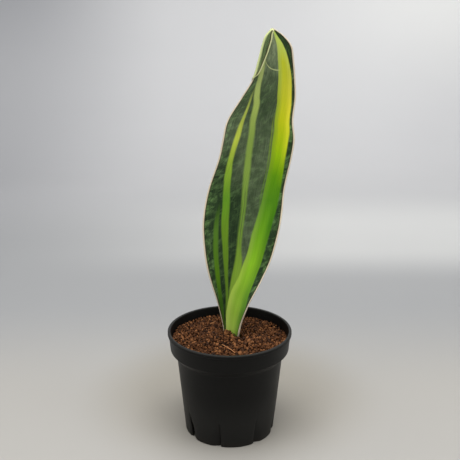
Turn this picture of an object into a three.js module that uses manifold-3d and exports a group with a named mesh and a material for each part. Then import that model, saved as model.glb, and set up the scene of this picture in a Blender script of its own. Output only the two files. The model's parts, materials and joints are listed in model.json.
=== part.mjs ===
// A variegated whale-fin snake plant in a black nursery pot.
//
// Four pieces: the moulded pot, the potting mix that fills it, the single leaf, and the
// rhizome with its roots under the surface. Millimetres, +Z up, and the origin is the centre
// of the pot's foot on the surface that it stands on. The leaf's upper face looks along -Y.

import * as THREE from "three";
import { ParametricGeometry } from "three/addons/geometries/ParametricGeometry.js";
import { mergeVertices } from "three/addons/utils/BufferGeometryUtils.js";
import Module from "manifold-3d";

const wasm = await Module();
wasm.setup();

// ---------------------------------------------------------------- driving dimensions

const POT = {
  height: 112.5,
  rimRadius: 65, // over the lip
  lipHeight: 3.4,
  lipProud: 1.3, // the lip stands out this far from the collar
  lipBevel: 0.9, // height of the bevel round the lip's top
  lipBevelWidth: 0.75,
  lipUndercut: 0.8, // height of the slope under the lip
  collarHeight: 20, // lip and collar together
  collarTaper: 1.4, // the collar narrows by this much on its way down
  shoulderHeight: 7, // sloping step between the collar and the wall
  shoulderStep: 6.6,
  shoulderKneeOut: 0.62, // share of the step that the slope has gone out at its knee
  shoulderKneeUp: 0.45, // share of the shoulder's height that the knee lies at
  footRadius: 47.4,
  footBevel: 0.55,
  wall: 1.6,
  footWall: 1.6, // of the wall where the drainage slots cut it
  floorLift: 3.5, // clear height under the floor
  floor: 2,
  segments: 96,
};

// The pot's foot has as many lobes as slots. Every other lobe stands proud. The ones between
// them are drawn in to a flat facet at both ends, and a slot opens in each step that this leaves.
const SLOTS = {
  count: 8,
  height: 29,
  footWidth: 1.2,
  topWidth: 0.6,
  turn: 10.5, // degrees from the front to the middle of a proud lobe
  offset: 0.4, // degrees that a slot lies on the proud side of its step
  facetHeight: 31, // the wall draws in below this
  facetHeld: 11, // and as far as it does at the foot up to here
  facetDepth: 2.8,
  facetWidth: 10, // degrees
  cornerDepth: 0.9, // how far a proud lobe's corners are drawn in
  cornerWidth: 4, // degrees
  lobeDepth: 0.6, // how much rounder than the wall each lobe is
  crowding: 0.8, // of the pot's segments towards the slots
  overcut: 1, // how far the cutter of a slot reaches past the wall on each side
};

const DRAIN_HOLES = { count: 6, radius: 3.6, ringRadius: 26, centreRadius: 5 };

const CLEARANCE = 0.3; // between pieces that touch

const MIX = {
  headspace: 8.5, // from the rim down to the mix beside the wall
  crown: 1.5, // the middle stands this much higher
};

const LEAF = {
  height: 315, // of the blade above the mix
  buried: 20, // length of the base below it
  valleyDepth: 14, // how far behind the pot's axis the channel starts
  edgeThickness: 1.2,
  baseThickness: 5.6,
  bladeThickness: 3.2,
  tipThickness: 1.8,
  baseRounding: 2.4, // radius along the bottom of the channel at the base
  bladeRounding: 8,
  ruffle: 1.6, // the margins wave forward and back by this much
  rightWaves: 21, // radians of the right margin's wave over the blade's height
  rightWaveStart: 0.6,
  leftWaves: 17,
  leftWaveStart: 3.4,
  foldRadius: 1.5, // bend of the left margin where it rolls over near the tip
  foldLift: 0.12, // slope by which the rolled strip rises off the blade
  rows: 44,
  columns: 16,
};

const RHIZOME = {
  radius: 9,
  length: 46,
  turn: 35, // degrees about the vertical
  offset: -6, // its middle lies this far left of the pot's axis
  forward: 4, // and this far in front of the leaf's channel
  roots: 6,
  rootRadius: 1.5,
  rootLength: 52,
  rootDrop: 0.78, // share of its length that a root goes down
  rootInset: 16.4, // it reaches this much less far outwards than the inside of the pot's foot
  rootStart: 3.6, // below the rhizome's middle
  rootMargin: 10.8, // bare length at each end of the rhizome
};

const COLOURS = {
  pot: { color: 0x191a19, roughness: 0.5 },
  mix: { color: 0x5a3620, roughness: 0.95 },
  leaf: { color: 0x4d7a2b, roughness: 0.42 },
  rhizome: { color: 0xc0814a, roughness: 0.7 },
};

// ------------------------------------------------------------------ derived dimensions

const collarBottomZ = POT.height - POT.collarHeight;
const shoulderBottomZ = collarBottomZ - POT.shoulderHeight;
const collarTopRadius = POT.rimRadius - POT.lipProud;
const collarBottomRadius = collarTopRadius - POT.collarTaper;
const wallTopRadius = collarBottomRadius - POT.shoulderStep;
const floorTopZ = POT.floorLift + POT.floor;
const footInner = POT.footRadius - POT.footWall; // inside the foot
const drawnIn = SLOTS.lobeDepth + SLOTS.facetDepth; // of the wall's foot at a slot
const mixEdgeZ = POT.height - MIX.headspace;
const mixCrownZ = mixEdgeZ + MIX.crown;
const leafFootZ = mixEdgeZ - LEAF.buried;
const rootSpread = footInner - drawnIn - RHIZOME.rootInset;
const slotPitch = 360 / SLOTS.count;
const slotAngle = THREE.MathUtils.degToRad(SLOTS.turn + slotPitch / 2 - 90); // of one slot, from +X

/** Outer radius of the pot's plain wall at height z. */
const wallRadius = (z) => THREE.MathUtils.mapLinear(z, 0, shoulderBottomZ, POT.footRadius, wallTopRadius);

// --------------------------------------------------------------------------- helpers

/** A closed geometry as a manifold-3d solid. */
function solid(geometry) {
  const bare = geometry.clone();
  bare.deleteAttribute("normal");
  bare.deleteAttribute("uv");
  const merged = mergeVertices(bare, 1e-4);
  return new wasm.Manifold(
    new wasm.Mesh({
      numProp: 3,
      vertProperties: new Float32Array(merged.attributes.position.array),
      triVerts: new Uint32Array(merged.index.array),
    }),
  );
}

/** A manifold-3d solid as a geometry. */
function geometryOf(shape) {
  const mesh = shape.getMesh();
  const geometry = new THREE.BufferGeometry();
  geometry.setAttribute("position", new THREE.BufferAttribute(mesh.vertProperties, mesh.numProp));
  geometry.setIndex(new THREE.BufferAttribute(mesh.triVerts, 1));
  geometry.computeVertexNormals();
  return geometry;
}

/** A geometry or solid as a named mesh with one of the COLOURS. */
function piece(name, shape, colour) {
  const geometry = shape instanceof THREE.BufferGeometry ? shape : geometryOf(shape);
  const mesh = new THREE.Mesh(geometry, new THREE.MeshStandardMaterial({ ...colour, metalness: 0 }));
  mesh.name = name;
  return mesh;
}

/** The solid that a closed profile of [radius, z] points sweeps about the Z axis. */
function turned(profile, segments, startAngle = 0) {
  const points = profile.map(([radius, z]) => new THREE.Vector2(radius, z));
  return new THREE.LatheGeometry(points, segments, startAngle).rotateX(Math.PI / 2);
}

/** A smooth function of z through stations of [z, value]. */
function along(stations) {
  const curve = new THREE.CatmullRomCurve3(
    stations.map(([z, value]) => new THREE.Vector3(value, 0, z)),
    false,
    "centripetal",
  );
  return (z) => {
    let span = stations.findIndex(([end]) => end >= z);
    if (span === -1) span = stations.length - 1;
    span = Math.max(span, 1);
    let low = (span - 1) / (stations.length - 1);
    let high = span / (stations.length - 1);
    for (let step = 0; step < 24; step++) {
      const middle = (low + high) / 2;
      if (curve.getPoint(middle).z < z) low = middle;
      else high = middle;
    }
    return curve.getPoint((low + high) / 2).x;
  };
}

// -------------------------------------------------------------------------------- pot

/** The pot's section from the middle of the floor's underside, round the lip, and back. */
function potProfile() {
  const lipTop = POT.height;
  const lipBottom = POT.height - POT.lipHeight;
  const innerCollar = collarTopRadius - POT.wall;
  const facetRows = [SLOTS.facetHeld, SLOTS.facetHeight];
  return [
    [0, POT.floorLift],
    [footInner, POT.floorLift],
    [footInner, 0],
    [POT.footRadius - POT.footBevel, 0],
    [POT.footRadius, POT.footBevel],
    ...facetRows.map((z) => [wallRadius(z), z]),
    [wallTopRadius, shoulderBottomZ],
    [
      wallTopRadius + POT.shoulderKneeOut * POT.shoulderStep,
      shoulderBottomZ + POT.shoulderKneeUp * POT.shoulderHeight,
    ],
    [collarBottomRadius, collarBottomZ],
    [collarTopRadius, lipBottom - POT.lipUndercut],
    [POT.rimRadius, lipBottom],
    [POT.rimRadius, lipTop - POT.lipBevel],
    [POT.rimRadius - POT.lipBevelWidth, lipTop],
    [innerCollar + POT.lipBevelWidth, lipTop],
    [innerCollar, lipTop - POT.lipBevel],
    [collarBottomRadius - POT.wall, collarBottomZ],
    [wallTopRadius - POT.wall, shoulderBottomZ],
    [wallRadius(SLOTS.facetHeight) - POT.wall, SLOTS.facetHeight],
    [wallRadius(SLOTS.facetHeld) - POT.wall, SLOTS.facetHeld],
    [footInner, floorTopZ],
    [0, floorTopZ],
  ];
}

/** How far a lobe is drawn in at its foot, for degrees about Z measured from the front. */
function drawnInAt(degrees) {
  const { euclideanModulo } = THREE.MathUtils;
  const fromSlot = Math.abs(euclideanModulo(degrees - SLOTS.turn, slotPitch) - slotPitch / 2);
  const fromProud = Math.abs(euclideanModulo(degrees - SLOTS.turn + slotPitch, 2 * slotPitch) - slotPitch);
  const lobe = SLOTS.lobeDepth * (1 - Math.sin((Math.PI * fromSlot) / slotPitch));
  const isProud = fromProud < slotPitch / 2 - 0.1;
  const depth = isProud ? SLOTS.cornerDepth : SLOTS.facetDepth;
  const width = isProud ? SLOTS.cornerWidth : SLOTS.facetWidth;
  return lobe + depth * Math.max(1 - fromSlot / width, 0);
}

/** Draws the foot of the wall in, which leaves a lobe between each two slots. */
function drawLobes(geometry) {
  const position = geometry.attributes.position;
  for (let i = 0; i < position.count; i++) {
    const [x, y, z] = [position.getX(i), position.getY(i), position.getZ(i)];
    const radius = Math.hypot(x, y);
    if (radius < 1) continue;
    const crowd = SLOTS.crowding * Math.sin(SLOTS.count * (Math.atan2(y, x) - slotAngle));
    const angle = Math.atan2(y, x) - crowd / SLOTS.count;
    const fade = (SLOTS.facetHeight - z) / (SLOTS.facetHeight - SLOTS.facetHeld);
    const low = THREE.MathUtils.clamp(fade, 0, 1);
    const onWall = radius > footInner - SLOTS.overcut;
    const drawn = radius - (onWall ? low * drawnInAt(THREE.MathUtils.radToDeg(angle) + 90) : 0);
    position.setXY(i, drawn * Math.cos(angle), drawn * Math.sin(angle));
  }
  return geometry;
}

/** One drainage slot: open at the foot, narrower upwards, with a round top. */
function slotCutter() {
  const outline = new THREE.Shape();
  outline.moveTo(-SLOTS.footWidth / 2, -SLOTS.overcut);
  outline.lineTo(SLOTS.footWidth / 2, -SLOTS.overcut);
  outline.lineTo(SLOTS.topWidth / 2, SLOTS.height - SLOTS.topWidth / 2);
  outline.absarc(0, SLOTS.height - SLOTS.topWidth / 2, SLOTS.topWidth / 2, 0, Math.PI, false);
  const inner = footInner - drawnIn - SLOTS.overcut;
  const reach = wallTopRadius - inner;
  const cutter = new THREE.ExtrudeGeometry(outline, {
    depth: reach,
    bevelEnabled: false,
    curveSegments: 4,
  });
  return cutter.rotateX(Math.PI / 2).translate(0, -inner, 0);
}

/** A straight hole through the floor. */
function drainCutter(radius, x, y) {
  const cutter = new THREE.CylinderGeometry(radius, radius, 4 * POT.floor, 20);
  return cutter.rotateX(Math.PI / 2).translate(x, y, POT.floorLift + POT.floor / 2);
}

function makePot() {
  const start = THREE.MathUtils.degToRad(SLOTS.turn);
  let shape = solid(drawLobes(turned(potProfile(), POT.segments, start)));
  const slot = slotCutter();
  for (let i = 0; i < SLOTS.count; i++) {
    const towardsProud = i % 2 ? SLOTS.offset : -SLOTS.offset;
    const angle = THREE.MathUtils.degToRad(SLOTS.turn + (i + 0.5) * slotPitch + towardsProud);
    shape = shape.subtract(solid(slot.clone().rotateZ(angle)));
  }
  shape = shape.subtract(solid(drainCutter(DRAIN_HOLES.centreRadius, 0, 0)));
  for (let i = 0; i < DRAIN_HOLES.count; i++) {
    const angle = (2 * Math.PI * i) / DRAIN_HOLES.count;
    const x = DRAIN_HOLES.ringRadius * Math.cos(angle);
    const y = DRAIN_HOLES.ringRadius * Math.sin(angle);
    shape = shape.subtract(solid(drainCutter(DRAIN_HOLES.radius, x, y)));
  }
  return shape;
}

// ------------------------------------------------------------------------------- leaf

// Stations up the leaf, as shares of the blade's height above the mix, which is 1 at the tip.
// left, valley and right are x in millimetres: the two margins and the bottom of the channel.
const LEAF_STATIONS = [
  { share: -0.07, left: -4.5, valley: -1, right: 5.5 },
  { share: 0, left: -6.5, valley: -4, right: 8.2 },
  { share: 0.05, left: -9, valley: -4.5, right: 11.5 },
  { share: 0.12, left: -14, valley: -4.5, right: 20 },
  { share: 0.2, left: -21, valley: -2, right: 33 },
  { share: 0.27, left: -25, valley: 2.5, right: 42.5 },
  { share: 0.37, left: -27.5, valley: 8.5, right: 50.5 },
  { share: 0.43, left: -26, valley: 12, right: 53.5 },
  { share: 0.5, left: -21.5, valley: 16, right: 55.5 },
  { share: 0.6, left: -11, valley: 24, right: 61.5 },
  { share: 0.66, left: -7, valley: 29, right: 64 },
  { share: 0.72, left: -2.5, valley: 32.5, right: 62.5 },
  { share: 0.79, left: 11, valley: 37, right: 64.5 },
  { share: 0.85, left: 22.5, valley: 40.5, right: 63.5 },
  { share: 0.91, left: 28, valley: 41.5, right: 61.5 },
  { share: 0.95, left: 31, valley: 41, right: 59 },
  { share: 0.98, left: 34.5, valley: 41, right: 51 },
  { share: 1, left: 40.5, valley: 41, right: 41.5 },
];

// How steeply each side of the channel comes forward, as a slope.
const LEFT_SLOPE = [
  [-0.07, 0.3],
  [0, 0.15],
  [0.06, 0.3],
  [0.13, 0.48],
  [0.2, 0.5],
  [0.27, 0.45],
  [0.37, 0.35],
  [0.5, 0.28],
  [0.8, 0.24],
  [1, 0.3],
];
const RIGHT_SLOPE = [
  [-0.07, 0.8],
  [0, 1.5],
  [0.06, 1.2],
  [0.13, 0.8],
  [0.2, 0.54],
  [0.27, 0.42],
  [0.37, 0.32],
  [0.5, 0.26],
  [0.8, 0.25],
  [1, 0.32],
];
// The channel's bottom leans a little back, then forward again towards the tip.
const LEAN = [
  [-0.07, -3],
  [0, 0],
  [0.25, 0.5],
  [0.5, 2],
  [0.75, 0],
  [1, -5],
];
// Width of the left margin that rolls forward onto the blade near the tip.
const FOLD = [
  [0.8, 0],
  [0.845, 0],
  [0.878, 2.7],
  [0.92, 4.7],
  [0.936, 5.4],
  [0.968, 5.4],
  [0.98, 4],
  [0.992, 1.8],
  [1, 0],
];

// The wave of the margins sets in between the first two shares up the leaf, and dies away
// between the other two, counted down from the tip. Past the margin it grows no further than
// the limit, as a share of the half width.
const WAVE_RISE = [0.12, 0.4];
const WAVE_FALL = [0.05, 0.3];
const WAVE_LIMIT = 1.2;
// Shares of the height where the leaf changes from base to blade and from blade to tip.
const BASE_TO_BLADE = [0, 0.35];
const BLADE_TO_TIP = [0.7, 1];
const CHANNEL_OPENS = [0, 0.3];

const station = (key) => along(LEAF_STATIONS.map((row) => [row.share, row[key]]));
const leafLeft = station("left");
const leafValley = station("valley");
const leafRight = station("right");
const leftSlope = along(LEFT_SLOPE);
const rightSlope = along(RIGHT_SLOPE);
const lean = along(LEAN);
const fold = along(FOLD);

/** The leaf's thickness in the middle of the section at that share of its height. */
function midThickness(share) {
  const low = THREE.MathUtils.smoothstep(share, ...BASE_TO_BLADE);
  const high = THREE.MathUtils.smoothstep(share, ...BLADE_TO_TIP);
  const blade = THREE.MathUtils.lerp(LEAF.baseThickness, LEAF.bladeThickness, low);
  return THREE.MathUtils.lerp(blade, LEAF.tipThickness, high);
}

/** How far the blade's wave comes forward, at a distance from the channel's bottom. */
function ruffle(share, distance, onRight) {
  const half = onRight ? leafRight(share) - leafValley(share) : leafValley(share) - leafLeft(share);
  const turn = onRight
    ? LEAF.rightWaves * share + LEAF.rightWaveStart
    : LEAF.leftWaves * share + LEAF.leftWaveStart;
  const { smoothstep } = THREE.MathUtils;
  const fade = smoothstep(share, ...WAVE_RISE) * smoothstep(1 - share, ...WAVE_FALL);
  return LEAF.ruffle * Math.sin(turn) * fade * Math.min(Math.abs(distance / half), WAVE_LIMIT) ** 2;
}

const TANGENT_STEP = 0.05; // to either side of the point whose slope is measured

/** A point of the leaf's upper face in plan: x, y and the unit normal towards the back. */
function facePoint(share, across, grow) {
  const radius = LEAF.foldRadius;
  const folded = Math.max(fold(share), 0);
  // The bend's outside, not the face inside it, keeps to the leaf's outline.
  const margin = leafLeft(share) - grow + Math.min(folded, LEAF.edgeThickness);
  // Unrolled, the left margin would lie this far out.
  const spread = folded > 0 ? folded + (Math.PI - 1) * Math.min(radius, folded) : 0;
  const x = THREE.MathUtils.lerp(margin - spread, leafRight(share) + grow, across);
  const valley = leafValley(share);
  const opened = THREE.MathUtils.smoothstep(share, ...CHANNEL_OPENS);
  const rounding = THREE.MathUtils.lerp(LEAF.baseRounding, LEAF.bladeRounding, opened);
  const slope = (at) => (at > valley ? rightSlope(share) : leftSlope(share));
  const depth = (at) => {
    const reach = Math.hypot(at - valley, rounding) - rounding;
    return slope(at) * reach + ruffle(share, at - valley, at > valley);
  };
  const y = LEAF.valleyDepth + lean(share);

  const bend = Math.min(radius, folded);
  const rollFrom = margin + bend;
  if (folded > 0 && x < rollFrom) {
    // Rolled: round the bend first, then flat above the blade, towards the right.
    const beyond = rollFrom - x;
    const turn = Math.min(beyond / bend, Math.PI);
    const flat = Math.max(beyond - Math.PI * bend, 0);
    const base = y - depth(rollFrom);
    return {
      x: rollFrom - bend * Math.sin(turn) + flat,
      y: base - bend * (1 - Math.cos(turn)) - LEAF.foldLift * flat,
      nx: -Math.sin(turn),
      ny: Math.cos(turn),
    };
  }
  const tangent = (depth(x - TANGENT_STEP) - depth(x + TANGENT_STEP)) / (2 * TANGENT_STEP);
  const length = Math.hypot(1, tangent);
  return { x, y: y - depth(x), nx: -tangent / length, ny: 1 / length };
}

/** Steps that crowd towards both ends, the more the nearer that crowding is to 1. */
const spaced = (step, crowding) =>
  THREE.MathUtils.lerp(step, 0.5 - 0.5 * Math.cos(Math.PI * step), crowding);

const ROW_CROWDING = 0.7; // of the leaf's rows towards its foot and tip
const EDGE_REACH = 3; // the edge is at full thickness where a section is 1 / this of its fullness
const ROOM_REACH = 8; // and the room round it is at full width 1 / this of the way

/** The leaf as one closed surface. around goes along the upper face and back along the lower. */
function leafSurface(grow) {
  return (around, up, target) => {
    const share = THREE.MathUtils.lerp(-LEAF.buried / LEAF.height, 1, spaced(up, ROW_CROWDING));
    const upper = around <= 0.5;
    const across = spaced(upper ? 2 * around : 2 - 2 * around, 1);
    const full = Math.sqrt(Math.max(1 - (2 * across - 1) ** 2, 0));
    const room = grow * Math.min(1, ROOM_REACH * full);
    const middle = Math.max(midThickness(share) - LEAF.edgeThickness, 0) * full;
    const edge = LEAF.edgeThickness * Math.min(1, EDGE_REACH * full);
    // The first and last rows close to a point inside the leaf's thickness.
    const closed = up === 0 || up === 1;
    const point = facePoint(share, closed ? 0.5 : across, closed ? 0 : grow);
    const offset = closed ? midThickness(share) / 2 : upper ? -room : middle + edge + room;
    const end = up === 0 ? -2 * grow : 0;
    const z = mixEdgeZ + share * LEAF.height + end;
    target.set(point.x + point.nx * offset, point.y + point.ny * offset, z);
  };
}

/** The leaf, or with grow, the room that it needs in the mix. */
function makeLeaf(grow = 0) {
  return new ParametricGeometry(leafSurface(grow), 2 * LEAF.columns, LEAF.rows);
}

// ---------------------------------------------------------------- rhizome with its roots

const rhizomeZ = leafFootZ - CLEARANCE - RHIZOME.radius; // its middle

/** The stout underground stem, lying just under the leaf's base. */
function rhizomeBody(grow) {
  const radius = RHIZOME.radius + grow;
  const capsule = new THREE.CapsuleGeometry(radius, RHIZOME.length - 2 * RHIZOME.radius, 5, 18);
  capsule.rotateZ(Math.PI / 2);
  capsule.rotateZ(THREE.MathUtils.degToRad(RHIZOME.turn));
  return capsule.translate(RHIZOME.offset, LEAF.valleyDepth - RHIZOME.forward, rhizomeZ);
}

// Points along a root, as shares of how far it spreads outwards and of how far it drops.
const ROOT_COURSE = [
  [0, 0],
  [0.48, 0.13],
  [0.84, 0.54],
  [1, 1],
];

/** Root number i: it leaves the rhizome's underside, spreads outwards and turns down. */
function rootTube(i, grow) {
  const place = (i + 0.5) / RHIZOME.roots - 0.5; // share of the way along the rhizome
  const turn = THREE.MathUtils.degToRad(RHIZOME.turn);
  const side = i % 2 ? 1 : -1;
  const rooted = RHIZOME.length - 2 * RHIZOME.rootMargin;
  const start = new THREE.Vector3(
    RHIZOME.offset + place * rooted * Math.cos(turn),
    LEAF.valleyDepth - RHIZOME.forward + place * rooted * Math.sin(turn),
    rhizomeZ - RHIZOME.rootStart,
  );
  const out = new THREE.Vector3(-Math.sin(turn) * side + place, Math.cos(turn) * side + 0.4 * place, 0);
  out.normalize();
  const points = ROOT_COURSE.map(([outward, down]) => {
    const point = start.clone().addScaledVector(out, outward * rootSpread);
    return point.setZ(start.z - down * RHIZOME.rootDrop * RHIZOME.rootLength);
  });
  points.at(-1).z -= grow; // the room round a root is longer than the root by the same gap
  const section = new THREE.Shape();
  section.absarc(0, 0, RHIZOME.rootRadius + grow, 0, 2 * Math.PI, false);
  return new THREE.ExtrudeGeometry(section, {
    steps: 8,
    extrudePath: new THREE.CatmullRomCurve3(points),
    curveSegments: 4,
    bevelEnabled: false,
  });
}

/** Rhizome and roots, which grew as one, or with grow, the room that they need in the mix. */
function makeRhizome(grow = 0) {
  let shape = solid(rhizomeBody(grow));
  for (let i = 0; i < RHIZOME.roots; i++) shape = shape.add(solid(rootTube(i, grow)));
  return shape;
}

// ------------------------------------------------------------------------- potting mix

/** The mix fills the pot from the floor to the headspace, with a low crown in the middle. */
function mixProfile() {
  const gap = CLEARANCE;
  const crown = [0.8, 0.55, 0.28].map((share) => {
    const rise = MIX.crown * (1 - share ** 2);
    return [share * (collarTopRadius - POT.wall), mixEdgeZ + rise];
  });
  const taperTopZ = POT.height - POT.lipBevel; // the collar's inside widens up to here
  const taper = [collarBottomZ, taperTopZ, collarBottomRadius, collarTopRadius];
  const edgeRadius = THREE.MathUtils.mapLinear(mixEdgeZ, ...taper);
  return [
    [0, floorTopZ + gap],
    [footInner - drawnIn - gap, floorTopZ + gap],
    [wallRadius(SLOTS.facetHeld) - POT.wall - drawnIn - gap, SLOTS.facetHeld],
    [wallRadius(SLOTS.facetHeight) - POT.wall - gap, SLOTS.facetHeight],
    [wallTopRadius - POT.wall - gap, shoulderBottomZ],
    [collarBottomRadius - POT.wall - gap, collarBottomZ],
    [edgeRadius - POT.wall - gap, mixEdgeZ],
    ...crown,
    [0, mixCrownZ],
  ];
}

function makeMix() {
  const filled = solid(turned(mixProfile(), POT.segments));
  const room = solid(makeLeaf(CLEARANCE)).add(makeRhizome(CLEARANCE));
  return filled.subtract(room);
}

// ------------------------------------------------------------------------- the object

const pottedSnakePlant = new THREE.Group();
pottedSnakePlant.name = "potted_snake_plant";
pottedSnakePlant.add(
  piece("pot", makePot(), COLOURS.pot),
  piece("potting_mix", makeMix(), COLOURS.mix),
  piece("leaf", makeLeaf(), COLOURS.leaf),
  piece("rhizome_with_roots", makeRhizome(), COLOURS.rhizome),
);

export default pottedSnakePlant;
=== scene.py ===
"""Looks for a variegated whale-fin snake plant in a black nursery pot.

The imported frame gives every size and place. Metres, +Z up, and the leaf's upper face looks
along -Y. Each part of the plant is a class that models its own pieces, and each finish is a
frozen dataclass that makes its own material.
"""

import json
import logging
import math
import random
from dataclasses import dataclass, field
from enum import Enum
from typing import Iterable, Sequence

import bmesh
import bpy
from mathutils import Euler, Matrix, Vector, noise

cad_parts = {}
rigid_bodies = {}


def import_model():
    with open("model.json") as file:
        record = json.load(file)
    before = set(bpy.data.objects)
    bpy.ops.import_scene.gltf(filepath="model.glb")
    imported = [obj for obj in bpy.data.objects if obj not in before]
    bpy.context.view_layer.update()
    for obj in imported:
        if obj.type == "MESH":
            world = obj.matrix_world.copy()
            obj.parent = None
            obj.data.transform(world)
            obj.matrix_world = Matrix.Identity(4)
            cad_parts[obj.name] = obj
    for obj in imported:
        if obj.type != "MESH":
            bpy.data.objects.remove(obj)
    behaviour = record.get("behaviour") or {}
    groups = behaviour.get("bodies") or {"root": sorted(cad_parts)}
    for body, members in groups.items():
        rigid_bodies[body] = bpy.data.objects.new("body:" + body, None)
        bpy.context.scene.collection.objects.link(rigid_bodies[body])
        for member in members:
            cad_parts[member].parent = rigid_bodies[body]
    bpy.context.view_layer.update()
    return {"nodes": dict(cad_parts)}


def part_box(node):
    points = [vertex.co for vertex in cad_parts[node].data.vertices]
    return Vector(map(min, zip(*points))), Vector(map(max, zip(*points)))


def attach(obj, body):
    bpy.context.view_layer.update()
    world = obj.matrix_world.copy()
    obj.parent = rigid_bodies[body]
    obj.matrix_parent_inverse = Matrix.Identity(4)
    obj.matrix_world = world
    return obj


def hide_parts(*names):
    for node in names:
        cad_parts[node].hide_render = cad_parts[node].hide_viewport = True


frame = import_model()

log = logging.getLogger("snake_plant")

MM = 0.001
BODY = "root"
WELD = 1e-6
REACH_UNIT = 10 * MM
SHARP_TURN = 35.0

Socket = bpy.types.NodeSocket
Colour = tuple[float, float, float]
Stations = Sequence[tuple[float, float]]


class Slot(Enum):
    """The record's material slots."""

    POT = "pot_plastic"
    MIX = "potting_granules"
    LEAF = "leaf_tissue"
    RHIZOME = "rhizome_tissue"


class Node(Enum):
    """The frame's nodes."""

    POT = "pot"
    MIX = "potting_mix"
    LEAF = "leaf"
    RHIZOME = "rhizome_with_roots"


# --------------------------------------------------------------------------- numbers


def smooth(value: float, low: float, high: float) -> float:
    """Eases from 0 at low to 1 at high.

    Args:
        value: where to read the ease.
        low: below this it is 0.
        high: above this it is 1.

    Returns:
        The eased share.
    """
    share = min(max((value - low) / (high - low), 0.0), 1.0)
    return share * share * (3.0 - 2.0 * share)


def lerp(start: float, end: float, share: float) -> float:
    """The value that lies share of the way from start to end."""
    return start + (end - start) * share


def along(stations: Stations, at: float) -> float:
    """A smooth curve through stations.

    Args:
        stations: pairs of place and value, in rising order of place.
        at: the place to read.

    Returns:
        The curve's value there, and the end values outside the stations.
    """
    if at <= stations[0][0]:
        return stations[0][1]
    if at >= stations[-1][0]:
        return stations[-1][1]
    last = len(stations) - 1
    span = next(i for i in range(last) if at <= stations[i + 1][0])

    def slope(i: int) -> float:
        """The curve's slope at station i."""
        before, after = stations[max(i - 1, 0)], stations[min(i + 1, last)]
        return (after[1] - before[1]) / (after[0] - before[0])

    (x0, y0), (x1, y1) = stations[span], stations[span + 1]
    width = x1 - x0
    t = (at - x0) / width
    rise = y1 - y0
    m0, m1 = slope(span) * width, slope(span + 1) * width
    return y0 + t * (m0 + t * (3 * rise - 2 * m0 - m1 + t * (m0 + m1 - 2 * rise)))


# ---------------------------------------------------------------------------- meshes


def finish_piece(
    bm: bmesh.types.BMesh, name: str, material: bpy.types.Material,
    sharp: float | None = SHARP_TURN,
) -> bpy.types.Object:
    """Turns a bmesh into a finished piece that rides on the plant's body.

    Args:
        bm: the mesh, which is freed.
        name: the piece's name.
        material: what it is made of.
        sharp: edges that turn by more than this many degrees stay sharp, or None for none.

    Returns:
        The new object.
    """
    mesh = bpy.data.meshes.new(name)
    bm.to_mesh(mesh)
    bm.free()
    for polygon in mesh.polygons:
        polygon.use_smooth = True
    if sharp is not None:
        mesh.set_sharp_from_angle(angle=math.radians(sharp))
    mesh.materials.append(material)
    piece = bpy.data.objects.new(name, mesh)
    bpy.context.scene.collection.objects.link(piece)
    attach(piece, BODY)
    return piece


def spun(profile: Sequence[Vector], steps: int) -> bmesh.types.BMesh:
    """Spins a profile about the Z axis into a closed solid.

    Args:
        profile: points in the XZ plane, from the axis, round the section, back to the axis.
        steps: how many steps the full turn has.

    Returns:
        The solid's bmesh, with its faces out.
    """
    bm = bmesh.new()
    points = [bm.verts.new(point) for point in profile]
    edges = [bm.edges.new(pair) for pair in zip(points, points[1:])]
    bmesh.ops.spin(
        bm, geom=points + edges, axis=(0, 0, 1), cent=(0, 0, 0), angle=math.tau, steps=steps, use_merge=True
    )
    bmesh.ops.remove_doubles(bm, verts=bm.verts, dist=WELD)
    bmesh.ops.recalc_face_normals(bm, faces=bm.faces)
    return bm


def rounded(corners: Sequence[tuple[float, float, float]], segments: int = 4) -> list[Vector]:
    """A profile whose corners are arcs.

    Args:
        corners: radius, height and corner radius of each, all in metres.
        segments: steps in each arc.

    Returns:
        The profile's points in the XZ plane.
    """
    points = [Vector((r, 0.0, z)) for r, z, _ in corners]
    out: list[Vector] = []
    for i, (_, _, radius) in enumerate(corners):
        if radius == 0.0 or i in (0, len(corners) - 1):
            out.append(points[i])
            continue
        back = (points[i - 1] - points[i]).normalized()
        ahead = (points[i + 1] - points[i]).normalized()
        reach = radius / math.tan(back.angle(ahead) / 2)
        for step in range(segments + 1):
            t = step / segments
            start, end = points[i] + back * reach, points[i] + ahead * reach
            out.append(start.lerp(points[i], t).lerp(points[i].lerp(end, t), t))
    return out


def cut(piece: bpy.types.Object, cutters: Iterable[bmesh.types.BMesh]) -> None:
    """Cuts shapes out of a piece and leaves the result in its mesh.

    Args:
        piece: what is cut.
        cutters: the shapes, as closed bmeshes, which are freed.
    """
    joined = bmesh.new()
    for cutter in cutters:
        part = bpy.data.meshes.new("cutter_part")
        cutter.to_mesh(part)
        cutter.free()
        joined.from_mesh(part)
        bpy.data.meshes.remove(part)
    mesh = bpy.data.meshes.new("cutter")
    joined.to_mesh(mesh)
    joined.free()
    tool = bpy.data.objects.new("cutter", mesh)
    bpy.context.scene.collection.objects.link(tool)
    modifier = piece.modifiers.new("cut", "BOOLEAN")
    modifier.operation = "DIFFERENCE"
    modifier.solver = "EXACT"
    modifier.object = tool
    result = bpy.data.meshes.new_from_object(piece.evaluated_get(bpy.context.evaluated_depsgraph_get()))
    piece.modifiers.clear()
    old = piece.data
    piece.data = result
    result.name = piece.name
    bpy.data.meshes.remove(old)
    bpy.data.objects.remove(tool)
    bpy.data.meshes.remove(mesh)


# -------------------------------------------------------------------------- materials


def srgb(red: float, green: float, blue: float) -> Colour:
    """Makes a linear colour from display values.

    Args:
        red: from 0 to 255.
        green: from 0 to 255.
        blue: from 0 to 255.

    Returns:
        The linear colour.
    """

    def linear(value: float) -> float:
        """One channel of the colour, made linear."""
        value /= 255.0
        return value / 12.92 if value <= 0.04045 else ((value + 0.055) / 1.055) ** 2.4

    return linear(red), linear(green), linear(blue)


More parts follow.
